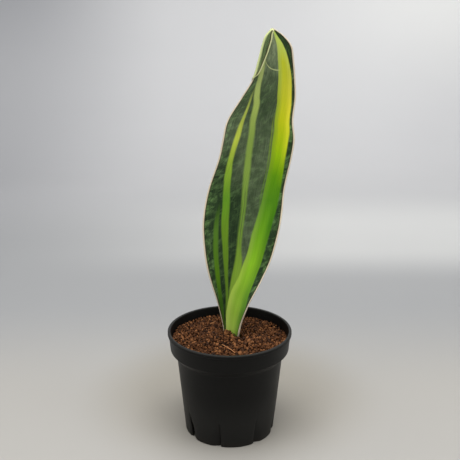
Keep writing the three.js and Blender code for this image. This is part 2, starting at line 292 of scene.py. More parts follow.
class Recipe:
    """A material's node tree, with a short call for each kind of node that the finishes use."""

    def __init__(self, name: str) -> None:
        """Starts a material with one principled shader.

        Args:
            name: the material's name.
        """
        self.material = bpy.data.materials.new(name)
        self.material.use_nodes = True
        self.tree = self.material.node_tree
        self.tree.nodes.clear()
        self.shader = self.tree.nodes.new("ShaderNodeBsdfPrincipled")
        output = self.tree.nodes.new("ShaderNodeOutputMaterial")
        self.tree.links.new(self.shader.outputs[0], output.inputs[0])

    def feed(self, target: Socket, value: object) -> None:
        """Links a socket to target, or sets target to a plain value.

        Args:
            target: the input.
            value: an output socket, a number or a colour.
        """
        if isinstance(value, bpy.types.NodeSocket):
            self.tree.links.new(value, target)
        elif isinstance(value, tuple) and target.type == "RGBA":
            target.default_value = (*value, 1.0)
        else:
            target.default_value = value

    def set(self, **values: object) -> None:
        """Sets the shader's inputs by name, with _ for a space."""
        for name, value in values.items():
            self.feed(self.shader.inputs[name.replace("_", " ")], value)

    def objects(self) -> Socket:
        """Object coordinates."""
        return self.tree.nodes.new("ShaderNodeTexCoord").outputs["Object"]

    def uv(self, layer: str) -> Socket:
        """A UV map of the piece's own.

        Args:
            layer: the map's name.

        Returns:
            Its coordinates.
        """
        node = self.tree.nodes.new("ShaderNodeUVMap")
        node.uv_map = layer
        return node.outputs[0]

    def attribute(self, name: str) -> Socket:
        """A number that the mesh carries.

        Args:
            name: the attribute's name.

        Returns:
            Its value.
        """
        node = self.tree.nodes.new("ShaderNodeAttribute")
        node.attribute_name = name
        return node.outputs["Fac"]

    def parts(self, vector: Socket) -> tuple[Socket, Socket, Socket]:
        """Takes a vector apart.

        Args:
            vector: the vector.

        Returns:
            Its X, Y and Z.
        """
        node = self.tree.nodes.new("ShaderNodeSeparateXYZ")
        self.feed(node.inputs[0], vector)
        return node.outputs[0], node.outputs[1], node.outputs[2]

    def vector(self, x: object, y: object, z: object = 0.0) -> Socket:
        """Puts a vector together.

        Args:
            x: a socket or a number.
            y: a socket or a number.
            z: a socket or a number.

        Returns:
            The vector.
        """
        node = self.tree.nodes.new("ShaderNodeCombineXYZ")
        for target, value in zip(node.inputs, (x, y, z)):
            self.feed(target, value)
        return node.outputs[0]

    def math(self, operation: str, a: object, b: object = 0.0) -> Socket:
        """One operation on two numbers.

        Args:
            operation: the math node's name for it.
            a: a socket or a number.
            b: a socket or a number.

        Returns:
            The result.
        """
        node = self.tree.nodes.new("ShaderNodeMath")
        node.operation = operation
        self.feed(node.inputs[0], a)
        self.feed(node.inputs[1], b)
        return node.outputs[0]

    def times(self, *values: object) -> Socket:
        """Multiplies several numbers.

        Args:
            values: sockets or numbers.

        Returns:
            Their product.
        """
        product = values[0]
        for value in values[1:]:
            product = self.math("MULTIPLY", product, value)
        return product

    def plus(self, *values: object) -> Socket:
        """Adds several numbers.

        Args:
            values: sockets or numbers.

        Returns:
            Their sum.
        """
        total = values[0]
        for value in values[1:]:
            total = self.math("ADD", total, value)
        return total

    def minus(self, a: object, b: object) -> Socket:
        """The difference of two numbers."""
        return self.math("SUBTRACT", a, b)

    def ease(self, value: object, low: object, high: object) -> Socket:
        """Eases a number from 0 at low to 1 at high, which may be the smaller of the two.

        Args:
            value: the number to ease.
            low: where the ease is 0.
            high: where the ease is 1.

        Returns:
            The eased share.
        """
        node = self.tree.nodes.new("ShaderNodeMapRange")
        node.interpolation_type = "SMOOTHSTEP"
        self.feed(node.inputs["Value"], value)
        self.feed(node.inputs["From Min"], low)
        self.feed(node.inputs["From Max"], high)
        return node.outputs[0]

    def mix(self, factor: object, a: object, b: object, blend: str = "MIX") -> Socket:
        """Mixes two colours or numbers.

        Args:
            factor: 0 for a, 1 for b.
            a: a colour, a number or a socket.
            b: a colour, a number or a socket.
            blend: the mix node's name for how b is laid on a.

        Returns:
            The mixed colour.
        """
        node = self.tree.nodes.new("ShaderNodeMix")
        node.data_type = "RGBA"
        node.blend_type = blend
        self.feed(node.inputs[0], factor)
        self.feed(node.inputs[6], a)
        self.feed(node.inputs[7], b)
        return node.outputs[2]

    def ramp(self, value: object, stops: Sequence[tuple[float, Colour]]) -> Socket:
        """Colours along a number.

        Args:
            value: from 0 to 1.
            stops: places and their colours.

        Returns:
            The colour at value.
        """
        node = self.tree.nodes.new("ShaderNodeValToRGB")
        elements = node.color_ramp.elements
        while len(elements) < len(stops):
            elements.new(0.5)
        for element, (place, _) in zip(elements, stops):
            element.position = place
        for element, (_, colour) in zip(elements, stops):
            element.color = (*colour, 1.0)
        self.feed(node.inputs[0], value)
        return node.outputs[0]

    def curve(self, value: object, stations: Stations) -> Socket:
        """A smooth curve of a number, where both run from 0 to 1.

        Args:
            value: the place along the curve.
            stations: pairs of place and value.

        Returns:
            The curve's value.
        """
        node = self.tree.nodes.new("ShaderNodeFloatCurve")
        points = node.mapping.curves[0].points
        while len(points) < len(stations):
            points.new(0.5, 0.5)
        for point, (place, height) in zip(points, stations):
            point.location = (place, height)
            point.handle_type = "AUTO"
        node.mapping.update()
        self.feed(node.inputs["Value"], value)
        return node.outputs[0]

    def stretched(self, vector: Socket, scale: tuple[float, float, float]) -> Socket:
        """Scales a vector along its axes.

        Args:
            vector: the vector.
            scale: the scale along X, Y and Z.

        Returns:
            The scaled vector.
        """
        node = self.tree.nodes.new("ShaderNodeMapping")
        node.inputs["Scale"].default_value = scale
        self.feed(node.inputs["Vector"], vector)
        return node.outputs[0]

    def noise(
        self, vector: Socket, scale: float, detail: float = 3.0, rough: float = 0.55, warp: float = 0.0
    ) -> Socket:
        """Soft noise.

        Args:
            vector: where it is read.
            scale: how fine it is.
            detail: how many finer layers it has.
            rough: how strong the finer layers are.
            warp: how far it is distorted.

        Returns:
            The noise, from 0 to 1.
        """
        node = self.tree.nodes.new("ShaderNodeTexNoise")
        self.feed(node.inputs["Vector"], vector)
        node.inputs["Scale"].default_value = scale
        node.inputs["Detail"].default_value = detail
        node.inputs["Roughness"].default_value = rough
        node.inputs["Distortion"].default_value = warp
        return node.outputs["Fac"]

    def bump(
        self, height: object, distance: float, strength: float = 1.0, under: Socket | None = None
    ) -> Socket:
        """A normal from a height in units of distance, in metres.

        Args:
            height: the relief, from 0 to 1.
            distance: how deep 1 is.
            strength: how much of it shows.
            under: the normal that it is added to.

        Returns:
            The normal.
        """
        node = self.tree.nodes.new("ShaderNodeBump")
        node.inputs["Distance"].default_value = distance
        node.inputs["Strength"].default_value = strength
        self.feed(node.inputs["Height"], height)
        if under is not None:
            self.feed(node.inputs["Normal"], under)
        return node.outputs[0]


@dataclass(frozen=True)
class PotPlastic:
    """Black moulded polypropylene: satin, with a fine mould grain, faint scuffs and dust, plus painted
    light: a highlight on the lip and floor bounce low on the wall.
    """

    black: Colour = srgb(17, 17, 16)
    # Lighter grey: real scuffs, and also the painted lip highlight and painted floor bounce light.
    worn_and_lit: Colour = srgb(60, 60, 58)
    dust: Colour = srgb(92, 80, 66)
    rim_height: float = 112.5 * MM
    # Depths under the rim between which the painted highlight on the lip fades in.
    lip_highlight: tuple[float, float] = (1.6 * MM, 0.2 * MM)
    foot_dust: float = 9.0 * MM
    # Painted light thrown up from the floor: the wall lightens from the first height down to the second.
    low_bounce_light: tuple[float, float] = (62.0 * MM, 22.0 * MM)

    def make(self) -> bpy.types.Material:
        """Makes the material.

        Returns:
            The material.
        """
        r = Recipe("pot_plastic")
        place = r.objects()
        _, _, height = r.parts(place)
        cloud = r.noise(place, 38.0, 4.0)
        grain = r.noise(place, 1500.0, 2.0, 0.6)
        rubs = r.noise(r.stretched(place, (1.0, 1.0, 7.0)), 120.0, 5.0, 0.7, 0.4)
        scuffs = r.times(r.ease(rubs, 0.6, 0.74), 0.35)
        lip_low, lip_high = (self.rim_height - depth for depth in self.lip_highlight)
        # Painted highlight along the top of the lip.
        lip = r.ease(height, lip_low, lip_high)
        foot = r.ease(height, self.foot_dust, 0.0)
        # Painted floor bounce light: lighter low on the wall.
        low = r.ease(height, *self.low_bounce_light)
        # Real scuffs, plus the painted lip highlight and the painted floor bounce light.
        wear_and_light = r.plus(r.times(scuffs, 0.35), r.times(lip, 0.5), r.times(low, 0.22))
        colour = r.mix(wear_and_light, self.black, self.worn_and_lit)
        specks = r.ease(r.noise(place, 620.0, 3.0), 0.62, 0.75)
        dusty = r.times(r.plus(r.times(foot, 0.3), 0.03), r.plus(r.times(specks, 0.6), r.times(cloud, 0.4)))
        colour = r.mix(dusty, colour, self.dust)
        rough = r.plus(0.4, r.times(cloud, 0.12), r.times(scuffs, 0.3), r.times(dusty, 0.4))
        r.set(Base_Color=colour, Roughness=rough, IOR=1.49, Specular_IOR_Level=0.14)
        r.set(Normal=r.bump(r.plus(r.times(grain, 0.7), r.times(rubs, 0.3)), 0.05 * MM, 0.5))
        return r.material


@dataclass(frozen=True)
class Granules:
    """Coir and bark granules: each has its own brown, with a fibrous, pitted surface."""

    name: str = "granules"
    dark: Colour = srgb(46, 26, 13)
    middle: Colour = srgb(95, 56, 27)
    light: Colour = srgb(158, 104, 62)

    def make(self) -> bpy.types.Material:
        """Makes the material. The tone attribute places each granule between dark and light.

        Returns:
            The material.
        """
        r = Recipe(self.name)
        place = r.objects()
        tone = r.attribute("tone")
        pits = r.noise(place, 900.0, 4.0, 0.65)
        fibres = r.noise(r.stretched(place, (1.0, 3.0, 1.6)), 700.0, 3.0, 0.6, 0.6)
        level = r.plus(r.times(tone, 0.86), r.times(pits, 0.14), r.times(fibres, 0.1), -0.05)
        colour = r.ramp(level, [(0.05, self.dark), (0.5, self.middle), (0.95, self.light)])
        r.set(Base_Color=colour, Roughness=r.plus(0.6, r.times(pits, 0.25)), Specular_IOR_Level=0.25)
        r.set(Normal=r.bump(r.plus(r.times(pits, 0.6), r.times(fibres, 0.4)), 0.35 * MM, 0.8))
        return r.material


@dataclass(frozen=True)
class Fibre:
    """A dry strand of coir."""

    name: str = "coir_fibre"
    pale: Colour = srgb(230, 166, 108)
    deep: Colour = srgb(176, 108, 64)

    def make(self) -> bpy.types.Material:
        """Makes the material.

        Returns:
            The material.
        """
        r = Recipe(self.name)
        place = r.objects()
        patches = r.noise(place, 420.0, 4.0, 0.6)
        r.set(Base_Color=r.mix(patches, self.deep, self.pale), Roughness=r.plus(0.5, r.times(patches, 0.3)))
        r.set(Normal=r.bump(r.noise(place, 2600.0, 2.0), 0.06 * MM, 0.7))
        return r.material


@dataclass(frozen=True)
class RhizomeSkin:
    """The rhizome's orange-brown skin, with paler scaly rings."""

    deep: Colour = srgb(150, 82, 38)
    pale: Colour = srgb(214, 158, 98)

    def make(self) -> bpy.types.Material:
        """Makes the material.

        Returns:
            The material.
        """
        r = Recipe("rhizome_skin")
        place = r.objects()
        cloud = r.noise(place, 130.0, 4.0, 0.6)
        rings = r.noise(r.stretched(place, (6.0, 1.0, 1.0)), 60.0, 3.0, 0.5, 0.8)
        r.set(Base_Color=r.mix(r.times(r.plus(cloud, rings), 0.55), self.deep, self.pale))
        r.set(Roughness=r.plus(0.5, r.times(cloud, 0.3)), Normal=r.bump(rings, 0.3 * MM, 0.7))
        return r.material


@dataclass(frozen=True)
class SweepPaper:
    """The sweep's pale grey paper, with its light painted on: lighter on the floor in front, dim at the
    left, bright at the top right, and a brownish shadow painted on the floor round the pot.
    """

    paper: Colour = srgb(204, 204, 205)
    near: Colour = srgb(197, 194, 188)
    middle: Colour = srgb(180, 181, 182)
    # Brownish grey of the painted shadow on the floor round the pot.
    dusty: Colour = srgb(172, 165, 150)
    dim: Colour = srgb(160, 161, 165)
    bright: Colour = srgb(226, 226, 224)

    def make(self) -> bpy.types.Material:
        """Makes the material.

        Returns:
            The material.
        """
        r = Recipe("sweep_paper")
        place = r.objects()
        x, y, z = r.parts(place)
        cloud = r.noise(place, 2.0, 3.0)
        far = r.ease(y, 0.2, 1.2)
        left = r.times(r.ease(x, -0.15, -0.6), far, r.plus(0.45, r.times(r.ease(z, 0.15, 0.6), 0.55)))
        right = r.times(r.ease(x, 0.0, 0.7), r.ease(z, 0.05, 0.5))
        band = r.times(r.ease(y, 0.43, 0.6), r.ease(y, 1.05, 0.75), r.ease(x, -0.45, 0.25))
        behind = r.minus(y, 0.07)
        aside = r.math("SQRT", r.plus(r.times(x, x), r.times(behind, behind)))
        colour = r.mix(r.ease(y, 0.05, 0.35), self.near, self.middle)
        colour = r.mix(r.ease(y, 0.6, 1.1), colour, self.paper)
        # Painted shadow: the floor darkens and browns round the pot.
        colour = r.mix(r.times(r.ease(aside, 0.19, 0.08), 0.7), colour, self.dusty)
        colour = r.mix(r.times(band, 0.8), colour, self.bright)
        colour = r.mix(r.times(cloud, 0.2), colour, self.dim)
        colour = r.mix(left, colour, self.dim)
        r.set(Base_Color=r.mix(right, colour, self.bright), Roughness=r.plus(0.7, r.times(cloud, 0.1)))
        r.set(Normal=r.bump(r.noise(place, 900.0), 0.05 * MM, 0.3))
        return r.material


@dataclass(frozen=True)
class Stripe:
    """One pale stripe of the leaf.

    edges holds a share up the blade and the stripe's left and right edge there, across the
    blade. The stripe fades out past the shares in ends.
    """

    edges: tuple[tuple[float, float, float], ...]
    ends: tuple[float, float] = (-1.0, 2.0)
    softness: float = 0.012

    @property
    def left(self) -> Stations:
        """Stations of the left edge."""
        return [(share, left) for share, left, _ in self.edges]

    @property
    def right(self) -> Stations:
        """Stations of the right edge."""
        return [(share, right) for share, _, right in self.edges]


MAIN = Stripe((
    (0.0, 0.19, 1.0), (0.05, 0.25, 1.0), (0.1, 0.35, 0.96), (0.15, 0.45, 0.89), (0.2, 0.56, 0.87),
    (0.25, 0.605, 0.87), (0.3, 0.638, 0.87), (0.35, 0.66, 0.882), (0.4, 0.69, 0.9), (0.46, 0.724, 0.934),
    (0.5, 0.735, 0.947), (0.55, 0.732, 0.934), (0.6, 0.718, 0.916), (0.65, 0.702, 0.916),
    (0.7, 0.718, 0.94), (0.75, 0.706, 0.942), (0.8, 0.654, 0.92), (0.85, 0.606, 0.908),
    (0.9, 0.56, 0.855), (0.95, 0.50, 0.722), (0.975, 0.48, 0.65), (1.0, 0.46, 0.56),
))
RAIL = Stripe(
    ((0.42, 0.69, 0.702), (0.5, 0.7, 0.72), (0.55, 0.698, 0.716), (0.6, 0.683, 0.703),
     (0.65, 0.668, 0.688), (0.7, 0.684, 0.702), (0.74, 0.69, 0.7)),
    ends=(0.44, 0.73), softness=0.007,
)
OUTER = Stripe(
    ((0.0, 0.21, 0.38), (0.05, 0.23, 0.38), (0.1, 0.28, 0.38), (0.15, 0.30, 0.37), (0.2, 0.291, 0.357),
     (0.25, 0.278, 0.352), (0.3, 0.265, 0.344), (0.35, 0.252, 0.339), (0.4, 0.239, 0.33),
     (0.45, 0.226, 0.318), (0.5, 0.2, 0.286), (0.55, 0.155, 0.244), (0.6, 0.139, 0.207),
     (0.65, 0.155, 0.226), (0.7, 0.195, 0.255), (0.73, 0.215, 0.257), (0.76, 0.2, 0.235),
     (0.8, 0.16, 0.19), (0.84, 0.13, 0.15)),
    ends=(-1.0, 0.8), softness=0.014,
)
INNER = Stripe(
    ((0.0, 0.34, 0.6), (0.1, 0.38, 0.6), (0.15, 0.4, 0.6), (0.2, 0.432, 0.6), (0.25, 0.46, 0.575),
     (0.3, 0.47, 0.533), (0.35, 0.475, 0.53), (0.4, 0.48, 0.533), (0.45, 0.47, 0.533),
     (0.5, 0.449, 0.522), (0.55, 0.41, 0.493), (0.6, 0.37, 0.454), (0.65, 0.357, 0.436),
     (0.7, 0.362, 0.444), (0.75, 0.323, 0.42), (0.8, 0.213, 0.318), (0.85, 0.12, 0.226),
     (0.9, 0.10, 0.21), (0.95, 0.1, 0.2)),
    ends=(-1.0, 0.93), softness=0.02,
)
SPLIT = Stripe(
    ((0.25, 0.5, 0.508), (0.35, 0.499, 0.509), (0.4, 0.503, 0.514), (0.46, 0.503, 0.511),
     (0.55, 0.46, 0.466)),
    ends=(0.3, 0.5), softness=0.006,
)
BRANCH = Stripe(
    ((0.0, 0.0, 0.13), (0.05, 0.03, 0.16), (0.1, 0.07, 0.186), (0.15, 0.10, 0.186), (0.2, 0.12, 0.2),
     (0.25, 0.129, 0.2), (0.3, 0.129, 0.2), (0.35, 0.139, 0.207), (0.4, 0.155, 0.207), (0.45, 0.175, 0.21),
     (0.5, 0.2, 0.22)),
    ends=(-1.0, 0.44), softness=0.016,
)

# Colours up the blade, as shares and colours. They are partly the stripes' own colours and partly painted
# light and shade along the blade, and the brightest ones near the tip are a painted highlight.
MAIN_LEFT = (
    (0.0, srgb(216, 240, 122)), (0.1, srgb(202, 232, 98)), (0.2, srgb(178, 216, 74)),
    (0.34, srgb(146, 190, 66)), (0.46, srgb(112, 162, 48)), (0.55, srgb(120, 166, 30)),
    (0.62, srgb(152, 188, 32)), (0.78, srgb(172, 192, 56)), (0.9, srgb(196, 214, 90)),
    (0.98, srgb(226, 248, 138)),
)
MAIN_MIDDLE = (
    (0.0, srgb(196, 230, 98)), (0.08, srgb(164, 206, 66)), (0.15, srgb(146, 194, 50)),
    (0.25, srgb(150, 208, 42)), (0.35, srgb(122, 182, 32)), (0.46, srgb(88, 148, 24)),
    (0.54, srgb(104, 164, 10)), (0.61, srgb(164, 208, 10)), (0.72, srgb(212, 220, 26)),
    (0.82, srgb(220, 222, 54)), (0.9, srgb(214, 222, 54)), (0.98, srgb(228, 252, 128)),
)
MAIN_RIGHT = (
    (0.0, srgb(128, 172, 60)), (0.08, srgb(88, 138, 38)), (0.2, srgb(122, 176, 40)),
    (0.28, srgb(112, 166, 32)), (0.38, srgb(74, 136, 20)), (0.5, srgb(90, 148, 20)),
    (0.56, srgb(140, 190, 10)), (0.64, srgb(222, 236, 40)), (0.76, srgb(248, 238, 62)),
    (0.86, srgb(226, 226, 76)), (0.98, srgb(214, 242, 114)),
)
OUTER_COLOURS = (
    (0.0, srgb(120, 158, 56)), (0.2, srgb(112, 152, 40)), (0.35, srgb(122, 166, 38)),
    (0.47, srgb(116, 172, 42)), (0.56, srgb(160, 202, 60)), (0.66, srgb(214, 230, 84)),
    (0.8, srgb(180, 194, 96)),
)
INNER_COLOURS = (
    (0.0, srgb(150, 184, 74)), (0.2, srgb(142, 182, 56)), (0.3, srgb(136, 174, 58)),
    (0.42, srgb(128, 168, 60)), (0.52, srgb(146, 180, 76)), (0.66, srgb(156, 186, 84)),
    (0.76, srgb(184, 206, 104)), (0.9, srgb(202, 218, 138)),
)
BRANCH_COLOURS = (
    (0.0, srgb(84, 116, 40)), (0.1, srgb(66, 110, 30)), (0.2, srgb(98, 146, 18)),
    (0.36, srgb(92, 136, 42)), (0.46, srgb(48, 84, 26)),
)
# How far up the blade the healed scratch lies, across it.
SCRATCH_LINE = (
    (0.0, 0.93), (0.14, 0.92), (0.22, 0.9), (0.32, 0.885), (0.44, 0.877), (0.6, 0.875), (1.0, 0.89),
)
# How much painted sheen lies over the dark tissue, up the blade, at the sides and in the centre.
OUTER_SHEEN = ((0.0, 0.0), (0.5, 0.0), (0.6, 0.08), (0.68, 0.3), (0.8, 0.12), (0.88, 0.5), (1.0, 0.9))
CENTRE_SHEEN = (
    (0.0, 0.3), (0.25, 0.22), (0.35, 0.2), (0.45, 0.16), (0.6, 0.24), (0.7, 0.2), (0.76, 0.12),
    (0.84, 0.22), (0.9, 0.55), (0.96, 0.9), (1.0, 0.95),
)


@dataclass(frozen=True)
class LeafTissue:
    """The leaf's waxy tissue: dark mottled green with long pale stripes and a cream margin,
    under a painted sheen, with a painted highlight on the bend of the rolled margin.

    The piece's "blade" UV map gives the share across the blade and the share up it, with
    back_shift added to the first on the back. "reach" gives the distances to both margins in
    units of 10 mm, and the "roll" attribute is 1 on the bend of the rolled margin.
    """

    dark: Colour = srgb(38, 58, 34)
    mottle: Colour = srgb(114, 152, 88)
    # Pale grey-green of the painted sheen, a reflection laid over the dark tissue.
    painted_sheen: Colour = srgb(166, 182, 142)
    margin: Colour = srgb(244, 230, 202)
    margin_line: Colour = srgb(70, 44, 24)
    # Pale lime: the painted highlight on the rolled margin's bend, also the colour of the healed scratch
    # and of the rolled strip's margin.
    bend: Colour = srgb(224, 234, 164)
    underside: Colour = srgb(142, 164, 108)
    margin_reach: tuple[float, float] = (0.155, 0.115)
    line_reach: tuple[float, float] = (0.26, 0.18)
    fade: float = 0.04
    back_shift: float = 3.0

    def make(self) -> bpy.types.Material:
        """Makes the material.

        Returns:
            The material.
        """
        r = Recipe("leaf_tissue")
        across_raw, up, _ = r.parts(r.uv("blade"))
        is_back = r.math("GREATER_THAN", across_raw, self.back_shift / 2)
        across = r.minus(across_raw, r.times(is_back, self.back_shift))
        sheet = r.vector(across, r.times(up, 4.0))

        # Edges of the stripes wander a little and break into fine streaks.
        streaks = r.noise(r.stretched(sheet, (90.0, 1.6, 1.0)), 1.0, 3.0, 0.6)
        wander = r.noise(r.stretched(sheet, (6.0, 2.2, 1.0)), 1.0, 2.0, 0.5)
        lines = r.noise(r.stretched(sheet, (150.0, 2.2, 1.0)), 1.0, 3.0, 0.65)
        shifted = r.plus(across, r.times(r.minus(streaks, 0.5), 0.02), r.times(r.minus(wander, 0.5), 0.012))

        colour, mottled = self.ground(r, across, up, sheet, lines)
        colour = self.striped(r, shifted, up, colour, lines)
        shade = r.plus(0.74, r.times(streaks, 0.54))
        colour = r.mix(1.0, colour, r.vector(shade, shade, shade), "MULTIPLY")
        under = r.mix(r.ease(lines, 0.42, 0.6), self.dark, self.underside)
        rolled = r.times(is_back, r.ease(across, 0.25, 0.2), r.ease(up, 0.82, 0.86))
        colour = r.mix(rolled, colour, under)
        colour = self.edged(r, up, colour, wander, rolled)
        scratch = r.times(self.scratch(r, across, up), r.minus(1.0, is_back), 0.75)
        colour = r.mix(scratch, colour, self.bend)

        r.set(Base_Color=colour, Roughness=r.plus(0.38, r.times(lines, 0.12)))
        r.set(IOR=1.45, Specular_IOR_Level=0.2)
        ribs = r.noise(r.stretched(sheet, (46.0, 1.2, 1.0)), 1.0, 2.0, 0.5)
        relief = r.bump(ribs, 0.35 * MM, 0.55)
        r.set(Normal=r.bump(r.plus(r.times(mottled, 0.5), r.times(lines, 0.5)), 0.12 * MM, 0.5, relief))
        return r.material

    def ground(
        self, r: Recipe, across: Socket, up: Socket, sheet: Socket, lines: Socket
    ) -> tuple[Socket, Socket]:
        """The dark tissue, with slanted cross bands and a pale painted sheen.

        Args:
            r: the material that it is part of.
            across: the share across the blade.
            up: the share up the blade.
            sheet: both, in one scale.
            lines: fine lengthwise noise.

        Returns:
            The colour, and how much of the bands shows.
        """
        slanted = r.vector(r.times(across, 8.0), r.plus(r.times(up, 48.0), r.times(across, -6.0)))
        bands = r.ease(r.noise(slanted, 1.0, 4.0, 0.62, 1.0), 0.4, 0.66)
        blotch = r.ease(r.noise(r.stretched(sheet, (11.0, 9.0, 1.0)), 1.0, 3.0, 0.6), 0.35, 0.7)
        outside = r.math("MAXIMUM", r.ease(across, 0.24, 0.1), r.ease(across, 0.84, 0.94))
        strength = r.plus(0.42, r.times(outside, 0.5))
        uneven = r.plus(0.3, r.times(blotch, 0.9))
        mottled = r.times(bands, strength, uneven, r.plus(0.3, r.times(lines, 1.3)))
        streaked = r.times(r.ease(lines, 0.5, 0.7), r.ease(up, 0.1, 0.3), 0.3)
        mottled = r.math("MAXIMUM", mottled, streaked)
        colour = r.mix(mottled, self.dark, self.mottle)
        # Painted sheen: a pale reflection over the dark tissue, kept off the main stripe, strongest in the
        # centre and near the tip.
        centre = r.times(r.ease(across, 0.2, 0.32), r.ease(across, 0.86, 0.74))
        before_main = r.ease(r.minus(across, r.curve(up, MAIN.left)), 0.12, 0.02)
        low_gap = r.minus(1.0, r.times(r.ease(across, 0.52, 0.46), r.ease(up, 0.56, 0.46)))
        sheen_amount = r.mix(centre, r.curve(up, OUTER_SHEEN), r.times(r.curve(up, CENTRE_SHEEN), low_gap))
        sheen_amount = r.times(sheen_amount, before_main)
        broken = r.plus(-0.35, r.times(lines, 2.0), r.times(blotch, 0.6))
        return r.mix(r.times(sheen_amount, broken), colour, self.painted_sheen), mottled

    def striped(self, r: Recipe, across: Socket, up: Socket, colour: Socket, lines: Socket) -> Socket:
        """Lays the pale stripes over the dark tissue.

        Args:
            r: the material that they are part of.
            across: the share across the blade, with the wander of the edges.
            up: the share up the blade.
            colour: the dark tissue.
            lines: fine lengthwise noise.

        Returns:
            The colour with the stripes.
        """
        branch, outer, inner = (self.stripe(r, across, up, each) for each in (BRANCH, OUTER, INNER))
        main, rail, split = (self.stripe(r, across, up, each) for each in (MAIN, RAIL, SPLIT))
        streaky = r.plus(0.66, r.times(lines, 0.6))
        colour = r.mix(r.times(branch, streaky), colour, r.ramp(up, BRANCH_COLOURS))
        colour = r.mix(r.times(outer, streaky), colour, r.ramp(up, OUTER_COLOURS))
        inner = r.times(inner, streaky, r.minus(1.0, r.times(split, 0.8)))
        colour = r.mix(inner, colour, r.ramp(up, INNER_COLOURS))
        colour = r.mix(r.times(rail, 0.4), colour, r.ramp(up, MAIN_LEFT))

        start, end = r.curve(up, MAIN.left), r.curve(up, MAIN.right)
        through = r.math("DIVIDE", r.minus(across, start), r.minus(end, start))
        through = r.plus(through, r.times(r.minus(lines, 0.5), 0.25))
        inside = r.mix(r.ease(through, 0.05, 0.42), r.ramp(up, MAIN_LEFT), r.ramp(up, MAIN_MIDDLE))
        inside = r.mix(r.ease(through, 0.55, 0.92), inside, r.ramp(up, MAIN_RIGHT))
        return r.mix(main, colour, inside)

    def edged(self, r: Recipe, up: Socket, colour: Socket, wander: Socket, rolled: Socket) -> Socket:
        """Adds the hard cream margin, the brown line just inside it, and a painted highlight on the bend.

        Args:
            r: the material that they are part of.
            up: the share up the blade.
            colour: the striped tissue.
            wander: slow noise that makes the line uneven.
            rolled: 1 on the rolled strip, whose margin is greener.

        Returns:
            The colour with the margins.
        """
        left_reach, right_reach, _ = r.parts(r.uv("reach"))
        nearest = r.math("MINIMUM", left_reach, right_reach)
        narrower = r.times(r.ease(up, 0.24, 0.04), 0.08)
        uneven = r.plus(nearest, r.times(r.minus(wander, 0.5), 0.06), narrower)
        colour = r.mix(r.times(r.ease(uneven, *self.line_reach), 0.75), colour, self.margin_line)
        cream = r.mix(r.times(rolled, 0.8), self.margin, self.bend)
        colour = r.mix(r.ease(uneven, *self.margin_reach), colour, cream)
        # Painted highlight along the bend of the rolled margin.
        return r.mix(r.times(r.ease(r.attribute("roll"), 0.08, 0.7), 0.95), colour, self.bend)

    def stripe(self, r: Recipe, across: Socket, up: Socket, stripe: Stripe) -> Socket:
        """How much of one stripe shows.

        Args:
            r: the material that it is part of.
            across: the share across the blade.
            up: the share up the blade.
            stripe: its edges.

        Returns:
            1 inside the stripe and 0 outside it.
        """
        soft = stripe.softness
        inside_left = r.ease(r.minus(across, r.curve(up, stripe.left)), -soft, soft)
        inside_right = r.ease(r.minus(r.curve(up, stripe.right), across), -soft, soft)
        low, high = stripe.ends
        begun = r.ease(up, low - self.fade, low + self.fade)
        lasting = r.times(begun, r.ease(up, high + self.fade, high - self.fade))
        return r.times(inside_left, inside_right, lasting)

    def scratch(self, r: Recipe, across: Socket, up: Socket) -> Socket:
        """The healed scratch: a thin arc from the fold towards the main stripe.

        Args:
            r: the material that it is part of.
            across: the share across the blade.
            up: the share up the blade.

        Returns:
            1 on the scratch and 0 off it.
        """
        bow = r.curve(r.math("MINIMUM", r.math("MAXIMUM", across, 0.0), 1.0), SCRATCH_LINE)
        off = r.math("ABSOLUTE", r.minus(up, bow))
        ends = r.times(r.ease(across, 0.13, 0.17), r.ease(across, 0.64, 0.56))
        return r.times(r.ease(off, 0.0022, 0.0008), ends)


# -------------------------------------------------------------------------------- pot


